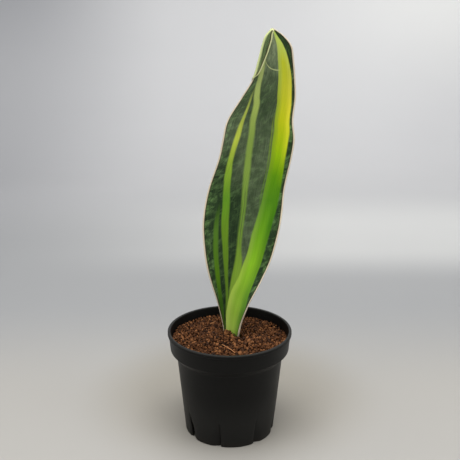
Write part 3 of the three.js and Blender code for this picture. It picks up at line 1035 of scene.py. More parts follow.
@dataclass
class NurseryPot:
    """The moulded pot: lip, collar, shoulder, tapered wall, and a foot of eight lobes.

    Every other lobe stands proud. The ones between them are drawn in at both ends, and a
    drainage slot opens in each step that this leaves.
    """

    lip_height: float = 3.4 * MM
    lip_proud: float = 1.3 * MM
    collar_height: float = 20.0 * MM
    collar_taper: float = 1.4 * MM
    shoulder_height: float = 7.0 * MM
    shoulder_step: float = 6.6 * MM
    foot_radius: float = 47.4 * MM
    wall: float = 1.6 * MM
    foot_wall: float = 1.6 * MM
    floor_lift: float = 3.5 * MM
    floor: float = 2.0 * MM
    slots: int = 8
    slot_height: float = 29.0 * MM
    slot_foot_width: float = 1.0 * MM
    slot_top_width: float = 0.5 * MM
    slot_offset: float = math.radians(0.25)
    first_lobe: float = math.radians(10.5)
    facet_height: float = 31.0 * MM
    facet_held: float = 11.0 * MM
    facet_depth: float = 2.8 * MM
    facet_width: float = math.radians(10)
    corner_depth: float = 0.9 * MM
    corner_width: float = math.radians(4)
    lobe_depth: float = 0.6 * MM
    crowding: float = 0.7
    least_narrowing: float = 0.1
    steps: int = 256
    facet_rows: int = 10
    plain_row: float = 56.0 * MM
    recess_fillet: float = 0.5 * MM
    foot_inner_round: float = 0.4 * MM
    foot_round: float = 0.9 * MM
    shoulder_fillet: float = 4.5 * MM
    collar_round: float = 2.2 * MM
    lip_undercut: float = 0.7 * MM
    lip_fillet: float = 0.4 * MM
    lip_low_round: float = 0.5 * MM
    lip_round: float = 1.0 * MM
    mouth_round: float = 0.6 * MM
    inside_fillet: float = 1.0 * MM
    floor_fillet: float = 0.8 * MM
    slot_cuts: int = 5
    cutter_room: float = 1.0 * MM
    drain_holes: int = 6
    drain_radius: float = 3.6 * MM
    drain_ring: float = 26.0 * MM
    drain_centre: float = 5.0 * MM
    height: float = field(init=False)
    radius: float = field(init=False)

    def __post_init__(self) -> None:
        """Takes the pot's height and width from the frame."""
        low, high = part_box(Node.POT.value)
        self.height = high.z
        self.radius = (high.x - low.x) / 2

    @property
    def collar_bottom(self) -> float:
        """The height where the collar ends and the shoulder starts."""
        return self.height - self.collar_height

    @property
    def shoulder_bottom(self) -> float:
        """The height where the shoulder meets the wall."""
        return self.collar_bottom - self.shoulder_height

    @property
    def collar_top_radius(self) -> float:
        """The collar's radius under the lip."""
        return self.radius - self.lip_proud

    @property
    def wall_top_radius(self) -> float:
        """The wall's radius under the shoulder."""
        return self.collar_top_radius - self.collar_taper - self.shoulder_step

    @property
    def slot_pitch(self) -> float:
        """The angle from one slot to the next."""
        return math.tau / self.slots

    def wall_radius(self, z: float) -> float:
        """The plain wall's outer radius at a height."""
        return lerp(self.foot_radius, self.wall_top_radius, z / self.shoulder_bottom)

    def inner_radius(self, z: float) -> float:
        """The radius inside the pot, away from the slots.

        Args:
            z: the height to read it at.

        Returns:
            The radius there.
        """
        if z >= self.collar_bottom:
            share = (z - self.collar_bottom) / self.collar_height
            return self.collar_top_radius - self.collar_taper * (1 - share) - self.wall
        if z >= self.shoulder_bottom:
            share = (z - self.shoulder_bottom) / self.shoulder_height
            return self.wall_top_radius + self.shoulder_step * share - self.wall
        return self.wall_radius(z) - self.wall

    def profile(self) -> list[Vector]:
        """The pot's section, from the floor's underside, up outside, over the lip, and back inside.

        Returns:
            The section's points in the XZ plane.
        """
        lip_bottom = self.height - self.lip_height
        collar_low = self.collar_top_radius - self.collar_taper
        inner_foot = self.foot_radius - self.foot_wall
        floor_top = self.floor_lift + self.floor
        row = self.facet_height / self.facet_rows
        outside = [(self.wall_radius(i * row), i * row, 0.0) for i in range(1, self.facet_rows + 1)]
        return rounded([
            (0.0, self.floor_lift, 0.0),
            (inner_foot, self.floor_lift, self.recess_fillet),
            (inner_foot, 0.0, self.foot_inner_round),
            (self.foot_radius, 0.0, self.foot_round),
            *outside,
            (self.wall_radius(self.plain_row), self.plain_row, 0.0),
            (self.wall_top_radius, self.shoulder_bottom, self.shoulder_fillet),
            (collar_low, self.collar_bottom, self.collar_round),
            (self.collar_top_radius, lip_bottom - self.lip_undercut, self.lip_fillet),
            (self.radius, lip_bottom, self.lip_low_round),
            (self.radius, self.height, self.lip_round),
            (self.collar_top_radius - self.wall, self.height, self.mouth_round),
            (collar_low - self.wall, self.collar_bottom, self.inside_fillet),
            (self.wall_top_radius - self.wall, self.shoulder_bottom, self.inside_fillet),
            (self.wall_radius(self.facet_height) - self.wall, self.facet_height, 0.0),
            (self.wall_radius(self.facet_held) - self.wall, self.facet_held, 0.0),
            (inner_foot, floor_top, self.floor_fillet),
            (0.0, floor_top, 0.0),
        ])

    def drawn_in(self, turn: float) -> bool:
        """Whether the lobe at an angle is one of those that are drawn in."""
        from_proud = (turn - self.first_lobe + self.slot_pitch) % (2 * self.slot_pitch) - self.slot_pitch
        return abs(from_proud) > self.slot_pitch / 2 - 1e-4

    def draw_lobes(self, bm: bmesh.types.BMesh) -> None:
        """Draws the foot of the wall in at the slots, so that a rounded lobe is left between them.

        Args:
            bm: the spun pot, whose columns also crowd towards the slots.
        """
        slot_at = self.first_lobe + self.slot_pitch / 2
        for vert in bm.verts:
            radius = math.hypot(vert.co.x, vert.co.y)
            if radius < self.cutter_room:
                continue
            turn = math.atan2(vert.co.x, -vert.co.y)
            turn -= self.crowding / self.slots * math.sin(self.slots * (turn - slot_at))
            off = abs((turn - slot_at + self.slot_pitch / 2) % self.slot_pitch - self.slot_pitch / 2)
            lobe = self.lobe_depth * (1 - math.sin(math.pi * off / self.slot_pitch))
            low = (self.facet_height - vert.co.z) / (self.facet_height - self.facet_held)
            low = min(max(low, 0.0), 1.0)
            drawn = self.drawn_in(turn)
            width = (self.facet_width if drawn else self.corner_width) * max(low, self.least_narrowing)
            facet = max(1 - off / width, 0.0) * (self.facet_depth if drawn else self.corner_depth)
            if radius > self.foot_radius - self.foot_wall - self.cutter_room:
                radius -= (lobe + facet) * low
            vert.co.x = radius * math.sin(turn)
            vert.co.y = -radius * math.cos(turn)

    def slot_cutter(self, turn: float) -> bmesh.types.BMesh:
        """A slot's wedge, open at the foot and narrower upwards.

        Args:
            turn: the slot's angle from the front.

        Returns:
            The closed cutter.
        """
        bm = bmesh.new()
        bmesh.ops.create_cube(bm, size=1.0)
        upright = [edge for edge in bm.edges if abs(edge.verts[0].co.z - edge.verts[1].co.z) > 0.5]
        bmesh.ops.subdivide_edges(bm, edges=upright, cuts=self.slot_cuts)
        drawn = self.lobe_depth + self.facet_depth
        inner = self.foot_radius - self.foot_wall - drawn - self.cutter_room
        for vert in bm.verts:
            share = vert.co.z + 0.5
            closing = 1 - 0.5 * smooth(share, 0.85, 1.0)
            width = lerp(self.slot_foot_width, self.slot_top_width, share) * closing
            vert.co = Vector((
                vert.co.x * width,
                -lerp(inner, self.wall_top_radius, 0.5 - vert.co.y),
                lerp(-self.cutter_room, self.slot_height, share),
            ))
        bmesh.ops.rotate(bm, verts=bm.verts, cent=(0, 0, 0), matrix=Matrix.Rotation(turn, 3, "Z"))
        bmesh.ops.recalc_face_normals(bm, faces=bm.faces)
        return bm

    def drain_cutter(self, radius: float, x: float, y: float) -> bmesh.types.BMesh:
        """A round drain hole's cutter.

        Args:
            radius: the hole's radius.
            x: its place on the floor.
            y: its place on the floor.

        Returns:
            The closed cutter.
        """
        bm = bmesh.new()
        bmesh.ops.create_cone(
            bm, cap_ends=True, segments=32, radius1=radius, radius2=radius, depth=4 * self.floor,
            matrix=Matrix.Translation((x, y, self.floor_lift + self.floor / 2)),
        )
        return bm

    def build(self) -> bpy.types.Object:
        """Models the pot and dresses it.

        Returns:
            The pot.
        """
        bm = spun(self.profile(), self.steps)
        facing = Matrix.Rotation(self.first_lobe - math.pi / 2, 3, "Z")
        bmesh.ops.rotate(bm, verts=bm.verts, cent=(0, 0, 0), matrix=facing)
        self.draw_lobes(bm)
        pot = finish_piece(bm, "nursery_pot", PotPlastic(rim_height=self.height).make())
        cutters = []
        for i in range(self.slots):
            to_drawn_lobe = self.slot_offset if i % 2 else -self.slot_offset
            cutters.append(self.slot_cutter(self.first_lobe + (i + 0.5) * self.slot_pitch + to_drawn_lobe))
        cutters.append(self.drain_cutter(self.drain_centre, 0.0, 0.0))
        for i in range(self.drain_holes):
            turn = math.tau * i / self.drain_holes
            cutters.append(self.drain_cutter(
                self.drain_radius, self.drain_ring * math.cos(turn), self.drain_ring * math.sin(turn)
            ))
        cut(pot, cutters)
        pot.data.set_sharp_from_angle(angle=math.radians(SHARP_TURN))
        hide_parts(Node.POT.value)
        return pot


# ------------------------------------------------------------------------------- leaf


@dataclass
class WhaleFinLeaf:
    """The one broad leaf: an open channel at the base and a paddle above, rolled over at the tip.

    Its stations are shares of the blade's height above the mix. left, valley and right are the
    two margins and the bottom of the channel, from the pot's axis.
    """

    buried: float = 20.0 * MM
    valley_depth: float = 14.0 * MM
    edge: float = 1.1 * MM
    base_thickness: float = 5.4 * MM
    blade_thickness: float = 3.0 * MM
    tip_thickness: float = 1.6 * MM
    wave: float = 1.6 * MM
    right_waves: tuple[float, float] = (21.0, 0.6)
    left_waves: tuple[float, float] = (17.0, 3.4)
    base_rounding: float = 2.4 * MM
    blade_rounding: float = 8.0 * MM
    fold_radius: float = 1.3 * MM
    flap_rise: float = 0.12
    slope_step: float = 0.05 * MM
    margin_crowding: float = 0.85
    tip_crowding: float = 0.45
    rows: int = 300
    columns: int = 72
    left: Stations = (
        (-0.07, -4.5), (0.0, -6.5), (0.05, -9.0), (0.12, -14.0), (0.2, -21.0), (0.27, -25.0),
        (0.37, -27.5), (0.43, -26.0), (0.5, -21.5), (0.6, -11.0), (0.66, -7.0), (0.72, -2.5),
        (0.79, 11.0), (0.85, 22.5), (0.91, 28.0), (0.95, 31.0), (0.98, 34.5), (1.0, 40.5),
    )
    valley: Stations = (
        (-0.07, -1.0), (0.0, -4.0), (0.05, -4.5), (0.12, -4.5), (0.2, -2.0), (0.27, 2.5),
        (0.37, 8.5), (0.43, 12.0), (0.5, 16.0), (0.6, 24.0), (0.66, 29.0), (0.72, 32.5),
        (0.79, 37.0), (0.85, 40.5), (0.91, 41.5), (0.95, 41.0), (0.98, 41.0), (1.0, 41.0),
    )
    right: Stations = (
        (-0.07, 5.5), (0.0, 8.2), (0.05, 11.5), (0.12, 20.0), (0.2, 33.0), (0.27, 42.5),
        (0.37, 50.5), (0.43, 53.5), (0.5, 55.5), (0.6, 61.5), (0.66, 64.0), (0.72, 62.5),
        (0.79, 64.5), (0.85, 63.5), (0.91, 61.5), (0.95, 59.0), (0.98, 51.0), (1.0, 41.5),
    )
    left_slope: Stations = (
        (-0.07, 0.3), (0.0, 0.15), (0.06, 0.3), (0.13, 0.48), (0.2, 0.5), (0.27, 0.45),
        (0.37, 0.35), (0.5, 0.28), (0.8, 0.24), (1.0, 0.3),
    )
    right_slope: Stations = (
        (-0.07, 0.8), (0.0, 1.5), (0.06, 1.2), (0.13, 0.8), (0.2, 0.54), (0.27, 0.42),
        (0.37, 0.32), (0.5, 0.26), (0.8, 0.25), (1.0, 0.32),
    )
    lean: Stations = ((-0.07, -3.0), (0.0, 0.0), (0.25, 0.5), (0.5, 2.0), (0.75, 0.0), (1.0, -5.0))
    fold: Stations = (
        (0.8, 0.0), (0.845, 0.0), (0.878, 2.7), (0.92, 4.7), (0.936, 5.4), (0.968, 5.4),
        (0.98, 4.0), (0.992, 1.8), (1.0, 0.0),
    )
    base: float = field(init=False)
    tip: float = field(init=False)

    def __post_init__(self) -> None:
        """Takes the leaf's height from the frame."""
        low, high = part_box(Node.LEAF.value)
        self.base = low.z + self.buried
        self.tip = high.z

    @property
    def blade(self) -> float:
        """The height of the blade above the mix."""
        return self.tip - self.base

    def thickness(self, share: float) -> float:
        """The leaf's thickness in the middle of its section."""
        blade = lerp(self.base_thickness, self.blade_thickness, smooth(share, 0.0, 0.35))
        return lerp(blade, self.tip_thickness, smooth(share, 0.7, 1.0))

    def ruffle(self, share: float, distance: float, half: float, on_right: bool) -> float:
        """How far the blade's wave comes forward.

        Args:
            share: of the blade's height.
            distance: from the channel's bottom.
            half: the distance from there to the margin.
            on_right: which side of the channel it is.

        Returns:
            The distance forward, in metres.
        """
        rate, start = self.right_waves if on_right else self.left_waves
        turn = math.sin(rate * share + start)
        fade = smooth(share, 0.12, 0.4) * smooth(1 - share, 0.05, 0.3)
        return self.wave * turn * fade * min(abs(distance / half), 1.2) ** 2

    def depth(self, share: float, x: float) -> float:
        """How far the face comes forward of the channel's bottom.

        Args:
            share: of the blade's height.
            x: the place across.

        Returns:
            The distance forward, in metres.
        """
        valley = along(self.valley, share) * MM
        rounding = lerp(self.base_rounding, self.blade_rounding, smooth(share, 0.0, 0.3))
        on_right = x > valley
        slope = along(self.right_slope if on_right else self.left_slope, share)
        margin = along(self.right if on_right else self.left, share) * MM
        reach = math.hypot(x - valley, rounding) - rounding
        return slope * reach + self.ruffle(share, x - valley, abs(margin - valley), on_right)

    def spread(self, share: float) -> float:
        """How much further out the left margin would lie if its roll were laid flat."""
        folded = max(along(self.fold, share), 0.0) * MM
        return folded + (math.pi - 1) * min(self.fold_radius, folded) if folded > 0 else 0.0

    def roll(self, share: float, x: float) -> float:
        """How far a place is round the rolled margin's bend.

        Args:
            share: of the blade's height.
            x: the place across, with the rolled margin laid flat.

        Returns:
            0 at the bend's two ends and off it, rising to 1 in the middle.
        """
        folded = max(along(self.fold, share), 0.0) * MM
        if folded <= 0:
            return 0.0
        bend = min(self.fold_radius, folded)
        turn = (along(self.left, share) * MM + min(folded, self.edge) + bend - x) / bend
        return math.sin(min(max(turn, 0.0), math.pi))

    def face(self, share: float, x: float) -> tuple[Vector, Vector]:
        """A point of the upper face and the direction to the back of the leaf.

        Args:
            share: of the blade's height.
            x: the place across, with the rolled margin laid flat.

        Returns:
            The point and the unit normal.
        """
        folded = max(along(self.fold, share), 0.0) * MM
        margin = along(self.left, share) * MM + min(folded, self.edge)
        bend = min(self.fold_radius, folded)
        z = self.base + share * self.blade
        y = self.valley_depth + along(self.lean, share) * MM
        if folded > 0 and x < margin + bend:
            beyond = margin + bend - x
            turn = min(beyond / bend, math.pi)
            flat = max(beyond - math.pi * bend, 0.0)
            start = y - self.depth(share, margin + bend)
            point = Vector((
                margin + bend - bend * math.sin(turn) + flat,
                start - bend * (1 - math.cos(turn)) - self.flap_rise * flat,
                z,
            ))
            return point, Vector((-math.sin(turn), math.cos(turn), 0.0))
        step = self.slope_step
        tangent = (self.depth(share, x - step) - self.depth(share, x + step)) / (2 * step)
        point = Vector((x, y - self.depth(share, x), z))
        return point, Vector((-tangent, 1.0, 0.0)).normalized()

    def section(self, share: float) -> list[tuple[Vector, Vector, float, float, float, float]]:
        """One row of the leaf.

        Args:
            share: of the blade's height.

        Returns:
            For each column the point, the normal, the place across from 0 at the left outline to
            1 at the right margin, the roll, and the distances to the left and the right margin.
        """
        left = along(self.left, share) * MM
        right = along(self.right, share) * MM
        folded = max(along(self.fold, share), 0.0) * MM
        outer = left + min(folded, self.edge) - self.spread(share)
        row: list[tuple[Vector, Vector, float, float]] = []
        for column in range(self.columns + 1):
            t = column / self.columns
            t = lerp(t, 0.5 - 0.5 * math.cos(math.pi * t), self.margin_crowding)
            x = lerp(outer, right, t)
            point, normal = self.face(share, x)
            row.append((point, normal, (x - left) / (right - left), self.roll(share, x)))
        lengths = [0.0]
        for before, after in zip(row, row[1:]):
            lengths.append(lengths[-1] + (after[0] - before[0]).length)
        total = lengths[-1]
        return [(*place, length, total - length) for place, length in zip(row, lengths)]

    def build(self) -> bpy.types.Object:
        """Models the leaf from a grid laid along the blade, doubled for its back.

        Returns:
            The leaf.
        """
        bm = bmesh.new()
        names = ("across", "up", "roll", "to_left", "to_right")
        values = {name: bm.verts.layers.float.new(name) for name in names}
        bmesh.ops.create_grid(bm, x_segments=self.columns, y_segments=self.rows, size=1.0)
        bm.faces.ensure_lookup_table()
        offsets: dict[bmesh.types.BMVert, Vector] = {}
        low = -self.buried / self.blade
        sections: dict[int, list] = {}
        for vert in bm.verts:
            row = round((vert.co.y + 1) / 2 * self.rows)
            column = round((vert.co.x + 1) / 2 * self.columns)
            if row not in sections:
                step = row / self.rows
                spaced = lerp(step, 1 - (1 - step) ** 2, self.tip_crowding)
                sections[row] = [lerp(low, 1.0, spaced), None]
                sections[row][1] = self.section(sections[row][0])
            share, section = sections[row]
            point, normal, across, roll, to_left, to_right = section[column]
            near = min(to_left, to_right)
            half = (to_left + to_right) / 2
            fullness = math.sqrt(max(1 - (1 - near / half) ** 2, 0.0)) if half > 0 else 0.0
            full = self.edge + max(self.thickness(share) - self.edge, 0.0) * fullness
            nose = min(near / (self.edge / 2), 1.0)
            inset = self.edge / 2 * (1 - math.sqrt(1 - (1 - nose) ** 2))
            vert.co = point + normal * inset
            offsets[vert] = normal * (full - 2 * inset if near > 0 else 0.0)
            for layer, value in zip(values.values(), (across, share, roll, to_left, to_right)):
                vert[layer] = value
        originals, front = list(bm.verts), list(bm.faces)
        copied = bmesh.ops.duplicate(bm, geom=list(bm.verts) + list(bm.edges) + front)
        back = [face for face in copied["geom"] if isinstance(face, bmesh.types.BMFace)]
        for vert in originals:
            copied["vert_map"][vert].co += offsets[vert]
        return self.close(bm, front, back, values)

    def close(self, bm: bmesh.types.BMesh, front: list, back: list, values: dict) -> bpy.types.Object:
        """Joins the two faces, writes the UV maps and dresses the leaf.

        Args:
            bm: both faces, still apart. It is freed.
            front: the upper face's faces.
            back: the back's faces.
            values: the layers that hold the places across and up and the distances to the margins.

        Returns:
            The leaf.
        """
        blade = bm.loops.layers.uv.new("blade")
        reach = bm.loops.layers.uv.new("reach")
        shift = LeafTissue().back_shift
        for faces, added in ((front, 0.0), (back, shift)):
            for face in faces:
                for loop in face.loops:
                    vert = loop.vert
                    loop[blade].uv = (vert[values["across"]] + added, vert[values["up"]])
                    to_left, to_right = vert[values["to_left"]], vert[values["to_right"]]
                    loop[reach].uv = (to_left / REACH_UNIT, to_right / REACH_UNIT)
        bmesh.ops.reverse_faces(bm, faces=back)
        bmesh.ops.remove_doubles(bm, verts=bm.verts, dist=WELD)
        rim = [edge for edge in bm.edges if edge.is_boundary]
        bmesh.ops.holes_fill(bm, edges=rim, sides=0)
        bmesh.ops.recalc_face_normals(bm, faces=bm.faces)
        leaf = finish_piece(bm, "whale_fin_leaf", LeafTissue().make(), sharp=None)
        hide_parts(Node.LEAF.value)
        return leaf


# ------------------------------------------------------------------------- potting mix


@dataclass(frozen=True)
class Swell:
    """A soft rise in the heap, or a dip where rise is negative."""

    x: float
    y: float
    width: float
    depth: float
    rise: float

    def height(self, x: float, y: float) -> float:
        """How far it lifts the heap at a place."""
        away = ((x - self.x) / self.width) ** 2 + ((y - self.y) / self.depth) ** 2
        return self.rise * math.exp(-away)


@dataclass
class PottingMix:
    """The mix: a lumpy bed, with loose granules heaped on it up to the soil line."""

    pot: NurseryPot
    leaf: WhaleFinLeaf
    soil_line: float = 104.0 * MM
    bed_drop: float = 4.0 * MM
    gap: float = 0.3 * MM
    smallest: float = 0.95 * MM
    largest: float = 2.1 * MM
    tries: int = 16000
    cell: float = 4.0 * MM
    small_bias: float = 1.4
    packing: float = 0.88
    standing: float = 0.75
    overfill: float = 0.7 * MM
    wall_room: float = 0.9
    first_lift: float = 0.3
    crown: float = 1.2 * MM
    mound: Swell = Swell(-9 * MM, -2 * MM, 13 * MM, 12 * MM, 2.4 * MM)
    dip: Swell = Swell(20 * MM, 14 * MM, 10 * MM, 11 * MM, -2.0 * MM)
    rolling: float = 1.3 * MM
    rolling_size: float = 15 * MM
    back_right_drop: float = 1.6 * MM
    lump: float = 0.8 * MM
    lump_size: float = 2.2 * MM
    bed_rings: int = 40
    bed_steps: int = 160
    bed_tone: float = 0.1
    batches: int = 4
    shapes: int = 14
    roundness: float = 0.62
    dents: float = 0.55
    jitter: float = 0.07
    stretch: tuple[float, float] = (0.72, 1.3)
    flatness: float = 0.9
    dark_tone: float = 0.1
    tone_middle: float = 0.45
    tone_spread: float = 0.25
    pale_share: float = 0.05
    strand_lift: float = 2.0 * MM
    dark_spot: tuple[float, float] = (-6.5 * MM, -20.0 * MM)
    dark_reach: float = 4.5 * MM
    seed: int = 7

    def surface(self, x: float, y: float) -> float:
        """The height of the heaped granules.

        Args:
            x: the place to read it at.
            y: the place to read it at.

        Returns:
            The height there.
        """
        crown = self.crown * (1 - (math.hypot(x, y) / self.pot.radius) ** 2)
        rolling = self.rolling * noise.noise(Vector((x, y, 0.3)) / self.rolling_size)
        back_right = -self.back_right_drop * smooth(x + y, 30 * MM, 80 * MM)
        swells = self.mound.height(x, y), self.dip.height(x, y)
        return self.soil_line + crown + swells[0] + swells[1] + rolling + back_right

    def build(self) -> list[bpy.types.Object]:
        """Models the bed, the granules and the strands.

        Returns:
            The pieces.
        """
        bed = self.bed()
        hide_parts(Node.MIX.value)
        return [bed, *self.granules(), *self.strands()]

    def bed(self) -> bpy.types.Object:
        """Models the body of the mix under the loose granules.

        Returns:
            The bed.
        """
        pot, gap = self.pot, self.gap
        floor_top = pot.floor_lift + pot.floor
        drawn = pot.lobe_depth + pot.facet_depth
        foot = pot.foot_radius - pot.foot_wall - drawn - gap
        edge = self.soil_line - self.bed_drop
        sides = [
            Vector((0.0, 0.0, floor_top + gap)),
            Vector((foot * 0.5, 0.0, floor_top + gap)),
            Vector((foot, 0.0, floor_top + gap)),
            Vector((pot.inner_radius(pot.facet_held) - drawn - gap, 0.0, pot.facet_held)),
            Vector((pot.inner_radius(pot.facet_height) - gap, 0.0, pot.facet_height)),
            Vector((pot.inner_radius(pot.plain_row) - gap, 0.0, pot.plain_row)),
            Vector((pot.inner_radius(pot.shoulder_bottom) - gap, 0.0, pot.shoulder_bottom)),
            Vector((pot.inner_radius(pot.collar_bottom) - gap, 0.0, pot.collar_bottom)),
        ]
        outer = pot.inner_radius(edge) - gap
        rings = self.bed_rings
        top = [Vector((outer * (1 - i / rings), 0.0, edge)) for i in range(rings + 1)]
        bm = spun(sides + top, self.bed_steps)
        for vert in bm.verts:
            if vert.co.z > edge - 0.01 * MM:
                raised = self.surface(vert.co.x, vert.co.y) - self.soil_line
                lump = noise.noise(vert.co / self.lump_size) * self.lump
                vert.co.z += raised + lump
        tone = bm.verts.layers.float.new("tone")
        for vert in bm.verts:
            vert[tone] = self.bed_tone
        return finish_piece(bm, "mix_bed", Granules("mix_bed").make(), sharp=None)

    def near_leaf(self, x: float, y: float, radius: float, outline: list[Vector]) -> bool:
        """Whether a granule would stand in the leaf's base."""
        return any((x - p.x) ** 2 + (y - p.y) ** 2 < (radius + p.z) ** 2 for p in outline)

    def leaf_outline(self) -> list[Vector]:
        """Where the leaf's base stands at the soil line.

        Returns:
            Points inside the leaf's section, each with the room round it as z.
        """
        share = 0.01
        half = self.leaf.thickness(share) / 2
        return [
            Vector((*(point + normal * half).xy, half * 0.9))
            for point, normal, *_ in self.leaf.section(share)[2:-2:3]
        ]

    def heap(self) -> list[tuple[Vector, float]]:
        """Drops granules one by one until the heap reaches its surface.

        Returns:
            The centre and the radius of each.
        """
        chance = random.Random(self.seed)
        outline = self.leaf_outline()
        grid: dict[tuple[int, int], list[tuple[Vector, float]]] = {}
        placed: list[tuple[Vector, float]] = []
        inner = self.pot.inner_radius(self.soil_line) - self.gap
        for _ in range(self.tries):
            radius = lerp(self.smallest, self.largest, chance.random() ** self.small_bias)
            away = (inner - radius * self.wall_room) * math.sqrt(chance.random())
            turn = chance.random() * math.tau
            x, y = away * math.cos(turn), away * math.sin(turn)
            if self.near_leaf(x, y, radius, outline):
                continue
            surface = self.surface(x, y)
            z = surface - self.bed_drop + radius * self.first_lift
            key = int(x // self.cell), int(y // self.cell)
            for i in (-1, 0, 1):
                for j in (-1, 0, 1):
                    for other, size in grid.get((key[0] + i, key[1] + j), ()):
                        reach = (radius + size) * self.packing
                        flat = (other.x - x) ** 2 + (other.y - y) ** 2
                        if flat < reach * reach:
                            z = max(z, other.z + math.sqrt(reach * reach - flat))
            if z + radius * self.standing > surface + self.overfill:
                continue
            spot = Vector((x, y, z))
            grid.setdefault(key, []).append((spot, radius))
            placed.append((spot, radius))
        return placed

    def variants(self, count: int) -> list[bpy.types.Mesh]:
        """A few different granule shapes, each a rounded, dented lump about 2 across.

        Args:
            count: how many.

        Returns:
            Their meshes.
        """
        chance = random.Random(self.seed + 1)
        shapes = []
        for index in range(count):
            bm = bmesh.new()
            bmesh.ops.create_cube(bm, size=1.6)
            bmesh.ops.subdivide_edges(bm, edges=bm.edges, cuts=1, use_grid_fill=True)
            for vert in bm.verts:
                round_ = vert.co.normalized()
                vert.co = vert.co.lerp(round_, self.roundness)
                dent = noise.noise(round_ * 1.3 + Vector((index * 7.1, 0, 0)))
                vert.co *= 1 + self.dents * dent
                vert.co += Vector([chance.uniform(-self.jitter, self.jitter) for _ in range(3)])
            mesh = bpy.data.meshes.new(f"granule_shape_{index}")
            bm.to_mesh(mesh)
            bm.free()
            shapes.append(mesh)
        return shapes

    def granules(self) -> list[bpy.types.Object]:
        """Models the heaped granules, as a few pieces.

        Returns:
            The pieces.
        """
        chance = random.Random(self.seed + 2)
        shapes = self.variants(self.shapes)
        material = Granules("granules").make()
        heap = self.heap()
        log.info("%d granules", len(heap))
        pieces = []
        for batch in range(self.batches):
            bm = bmesh.new()
            tones: list[float] = []
            for spot, radius in heap[batch::self.batches]:
                shape = chance.choice(shapes).copy()
                size = Vector([radius * chance.uniform(*self.stretch) for _ in range(3)])
                size.z *= self.flatness
                turn = Euler([chance.random() * math.tau for _ in range(3)])
                shape.transform(Matrix.LocRotScale(spot, turn, size))
                bm.from_mesh(shape)
                tone = min(max(chance.gauss(self.tone_middle, self.tone_spread), 0.0), 1.0)
                if chance.random() < self.pale_share:
                    tone = chance.uniform(0.85, 1.0)
                if math.dist(spot.xy, self.dark_spot) < self.dark_reach:
                    tone *= self.dark_tone
                tones.extend([tone] * len(shape.vertices))
                bpy.data.meshes.remove(shape)
            layer = bm.verts.layers.float.new("tone")
            for vert, tone in zip(bm.verts, tones):
                vert[layer] = tone
            pieces.append(finish_piece(bm, f"granules_{batch + 1}", material, sharp=None))
        for shape in shapes:
            bpy.data.meshes.remove(shape)
        return pieces

    def strands(self) -> list[bpy.types.Object]:
        """Models the few loose coir strands that lie on the granules.

        Returns:
            The strands.
        """
        material = Fibre().make()
        routes = (
            ("front_strand", 0.42,
             ((-8.0, -25.0), (-5.0, -29.0), (-1.5, -34.0), (2.5, -39.0), (5.5, -44.0))),
            ("back_strand", 0.36, ((-21.0, 26.0), (-20.0, 28.5), (-17.0, 30.5), (-15.5, 33.5))),
            ("side_strand", 0.28, ((18.0, -20.0), (22.0, -21.0), (25.0, -19.0))),
        )
        pieces = []
        for name, radius, route in routes:
            points = [
                Vector((x * MM, y * MM, self.surface(x * MM, y * MM) + self.strand_lift))
                for x, y in route
            ]
            pieces.append(self.strand(name, points, radius * MM, material))
        return pieces

    def strand(
        self, name: str, points: list[Vector], radius: float, material: bpy.types.Material
    ) -> bpy.types.Object:
        """Models one strand, thinner at its ends.

        Args:
            name: the piece's name.
            points: what it runs through.
            radius: half its thickness.
            material: what it is made of.

        Returns:
            The strand.
        """
        curve = bpy.data.curves.new(name, "CURVE")
        curve.dimensions = "3D"
        curve.bevel_depth = radius
        curve.bevel_resolution = 2
        curve.use_fill_caps = True
        spline = curve.splines.new("NURBS")
        spline.points.add(len(points) - 1)
        for i, point in enumerate(points):
            spline.points[i].co = (*point, 1.0)
            spline.points[i].radius = 0.55 if i in (0, len(points) - 1) else 1.0
        spline.use_endpoint_u = True
        spline.order_u = 3
        spline.resolution_u = 6
        holder = bpy.data.objects.new(name, curve)
        bpy.context.scene.collection.objects.link(holder)
        mesh = bpy.data.meshes.new_from_object(
            holder.evaluated_get(bpy.context.evaluated_depsgraph_get())
        )
        bpy.data.objects.remove(holder)
        bm = bmesh.new()
        bm.from_mesh(mesh)
        bpy.data.meshes.remove(mesh)
        return finish_piece(bm, name, material, sharp=None)


# ----------------------------------------------------------------------------- studio


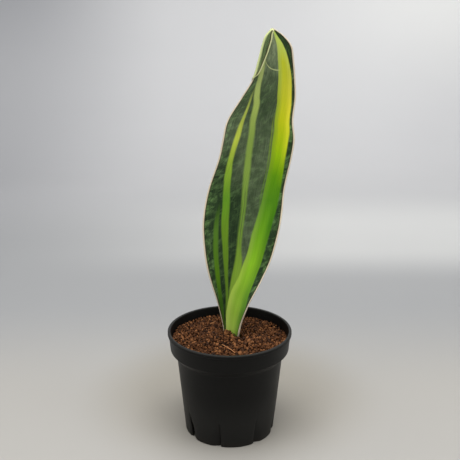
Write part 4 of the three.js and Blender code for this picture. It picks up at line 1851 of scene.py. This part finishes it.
@dataclass
class Studio:
    """A pale sweep, soft lights and the camera."""

    camera_at: Vector = field(default_factory=lambda: Vector((0.4, -771.9, 460.4)) * MM)
    pitch: float = math.radians(17.2)
    lens: float = 62.6
    sensor: float = 36.0
    sky: Colour = (0.95, 0.97, 1.0)
    sky_strength: float = 0.28
    rows: int = 60
    sweep_radius: float = 0.5
    back: float = 1.1
    front: float = -2.0
    half_width: float = 2.5
    wall_height: float = 2.4

    def build(self) -> None:
        """Makes the sweep, the lights, the sky and the camera."""
        self.sweep()
        self.lights()
        self.camera()

    def sweep(self) -> None:
        """Models the floor that curves up into a back wall."""
        bm = bmesh.new()
        bmesh.ops.create_grid(bm, x_segments=1, y_segments=self.rows, size=1.0)
        turn = math.pi / 2 * self.sweep_radius
        flat = self.back - self.front
        total = flat + turn + self.wall_height
        for vert in bm.verts:
            s = (vert.co.y + 1) / 2 * total
            y, z = self.front + min(s, flat), 0.0
            if s > flat:
                angle = min((s - flat) / self.sweep_radius, math.pi / 2)
                y += self.sweep_radius * math.sin(angle)
                z = self.sweep_radius * (1 - math.cos(angle)) + max(s - flat - turn, 0.0)
            vert.co = Vector((vert.co.x * self.half_width, y, z))
        mesh = bpy.data.meshes.new("sweep")
        bm.to_mesh(mesh)
        bm.free()
        for polygon in mesh.polygons:
            polygon.use_smooth = True
        mesh.materials.append(SweepPaper().make())
        sweep = bpy.data.objects.new("sweep", mesh)
        bpy.context.scene.collection.objects.link(sweep)

    def area(
        self, name: str, at: tuple, aim: tuple, size: tuple[float, float], power: float, colour: Colour,
        spread: float = 180.0,
    ) -> None:
        """One soft rectangular light.

        Args:
            name: the light's name.
            at: where it hangs.
            aim: what it points at.
            size: its width and height.
            power: in watts.
            colour: linear.
            spread: the angle that it shines through, in degrees.
        """
        data = bpy.data.lights.new(name, "AREA")
        data.shape = "RECTANGLE"
        data.size, data.size_y = size
        data.energy = power
        data.color = colour
        data.spread = math.radians(spread)
        light = bpy.data.objects.new(name, data)
        light.location = at
        light.rotation_euler = (Vector(aim) - Vector(at)).to_track_quat("-Z", "Y").to_euler()
        bpy.context.scene.collection.objects.link(light)

    def lights(self) -> None:
        """Hangs the key overhead, a fill at each side and a wall light, and sets the sky."""
        middle = (0, 0, 0.2)
        tall = (0.8, 1.2)
        warm, cool, white = (1.0, 0.99, 0.97), (0.97, 0.99, 1.0), (1.0, 1.0, 1.0)
        self.area("key", (-0.05, -0.25, 1.5), (0, 0, 0.15), (1.3, 1.2), 19.0, warm)
        self.area("right_fill", (1.4, -0.5, 0.7), middle, tall, 4.0, cool)
        self.area("left_fill", (-1.4, -0.4, 0.7), middle, tall, 3.0, cool)
        self.area("wall_light", (0.28, 0.55, 1.35), (0.32, 1.6, 0.62), (1.4, 0.4), 7.0, white, spread=130.0)
        world = bpy.data.worlds.new("studio")
        world.use_nodes = True
        sky = world.node_tree.nodes["Background"]
        sky.inputs["Color"].default_value = (*self.sky, 1.0)
        sky.inputs["Strength"].default_value = self.sky_strength
        bpy.context.scene.world = world
        bpy.context.scene.view_settings.view_transform = "Standard"

    def camera(self) -> None:
        """Sets up the camera."""
        data = bpy.data.cameras.new("camera")
        data.lens = self.lens
        data.sensor_width = self.sensor
        camera = bpy.data.objects.new("camera", data)
        camera.location = self.camera_at
        camera.rotation_euler = (math.pi / 2 - self.pitch, 0.0, 0.0)
        bpy.context.scene.collection.objects.link(camera)
        bpy.context.scene.camera = camera


# ------------------------------------------------------------------------------- main


def main() -> None:
    """Builds the studio and every part of the plant."""
    logging.basicConfig(level=logging.INFO, format="%(name)s: %(message)s")
    Studio().build()
    pot = NurseryPot()
    leaf = WhaleFinLeaf()
    pieces = [pot.build(), leaf.build(), *PottingMix(pot, leaf).build()]
    rhizome = frame["nodes"][Node.RHIZOME.value]
    rhizome.data.materials.clear()
    rhizome.data.materials.append(RhizomeSkin().make())
    for piece in pieces:
        log.info("%s: %d faces", piece.name, len(piece.data.polygons))
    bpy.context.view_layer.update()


if __name__ == "__main__":
    main()
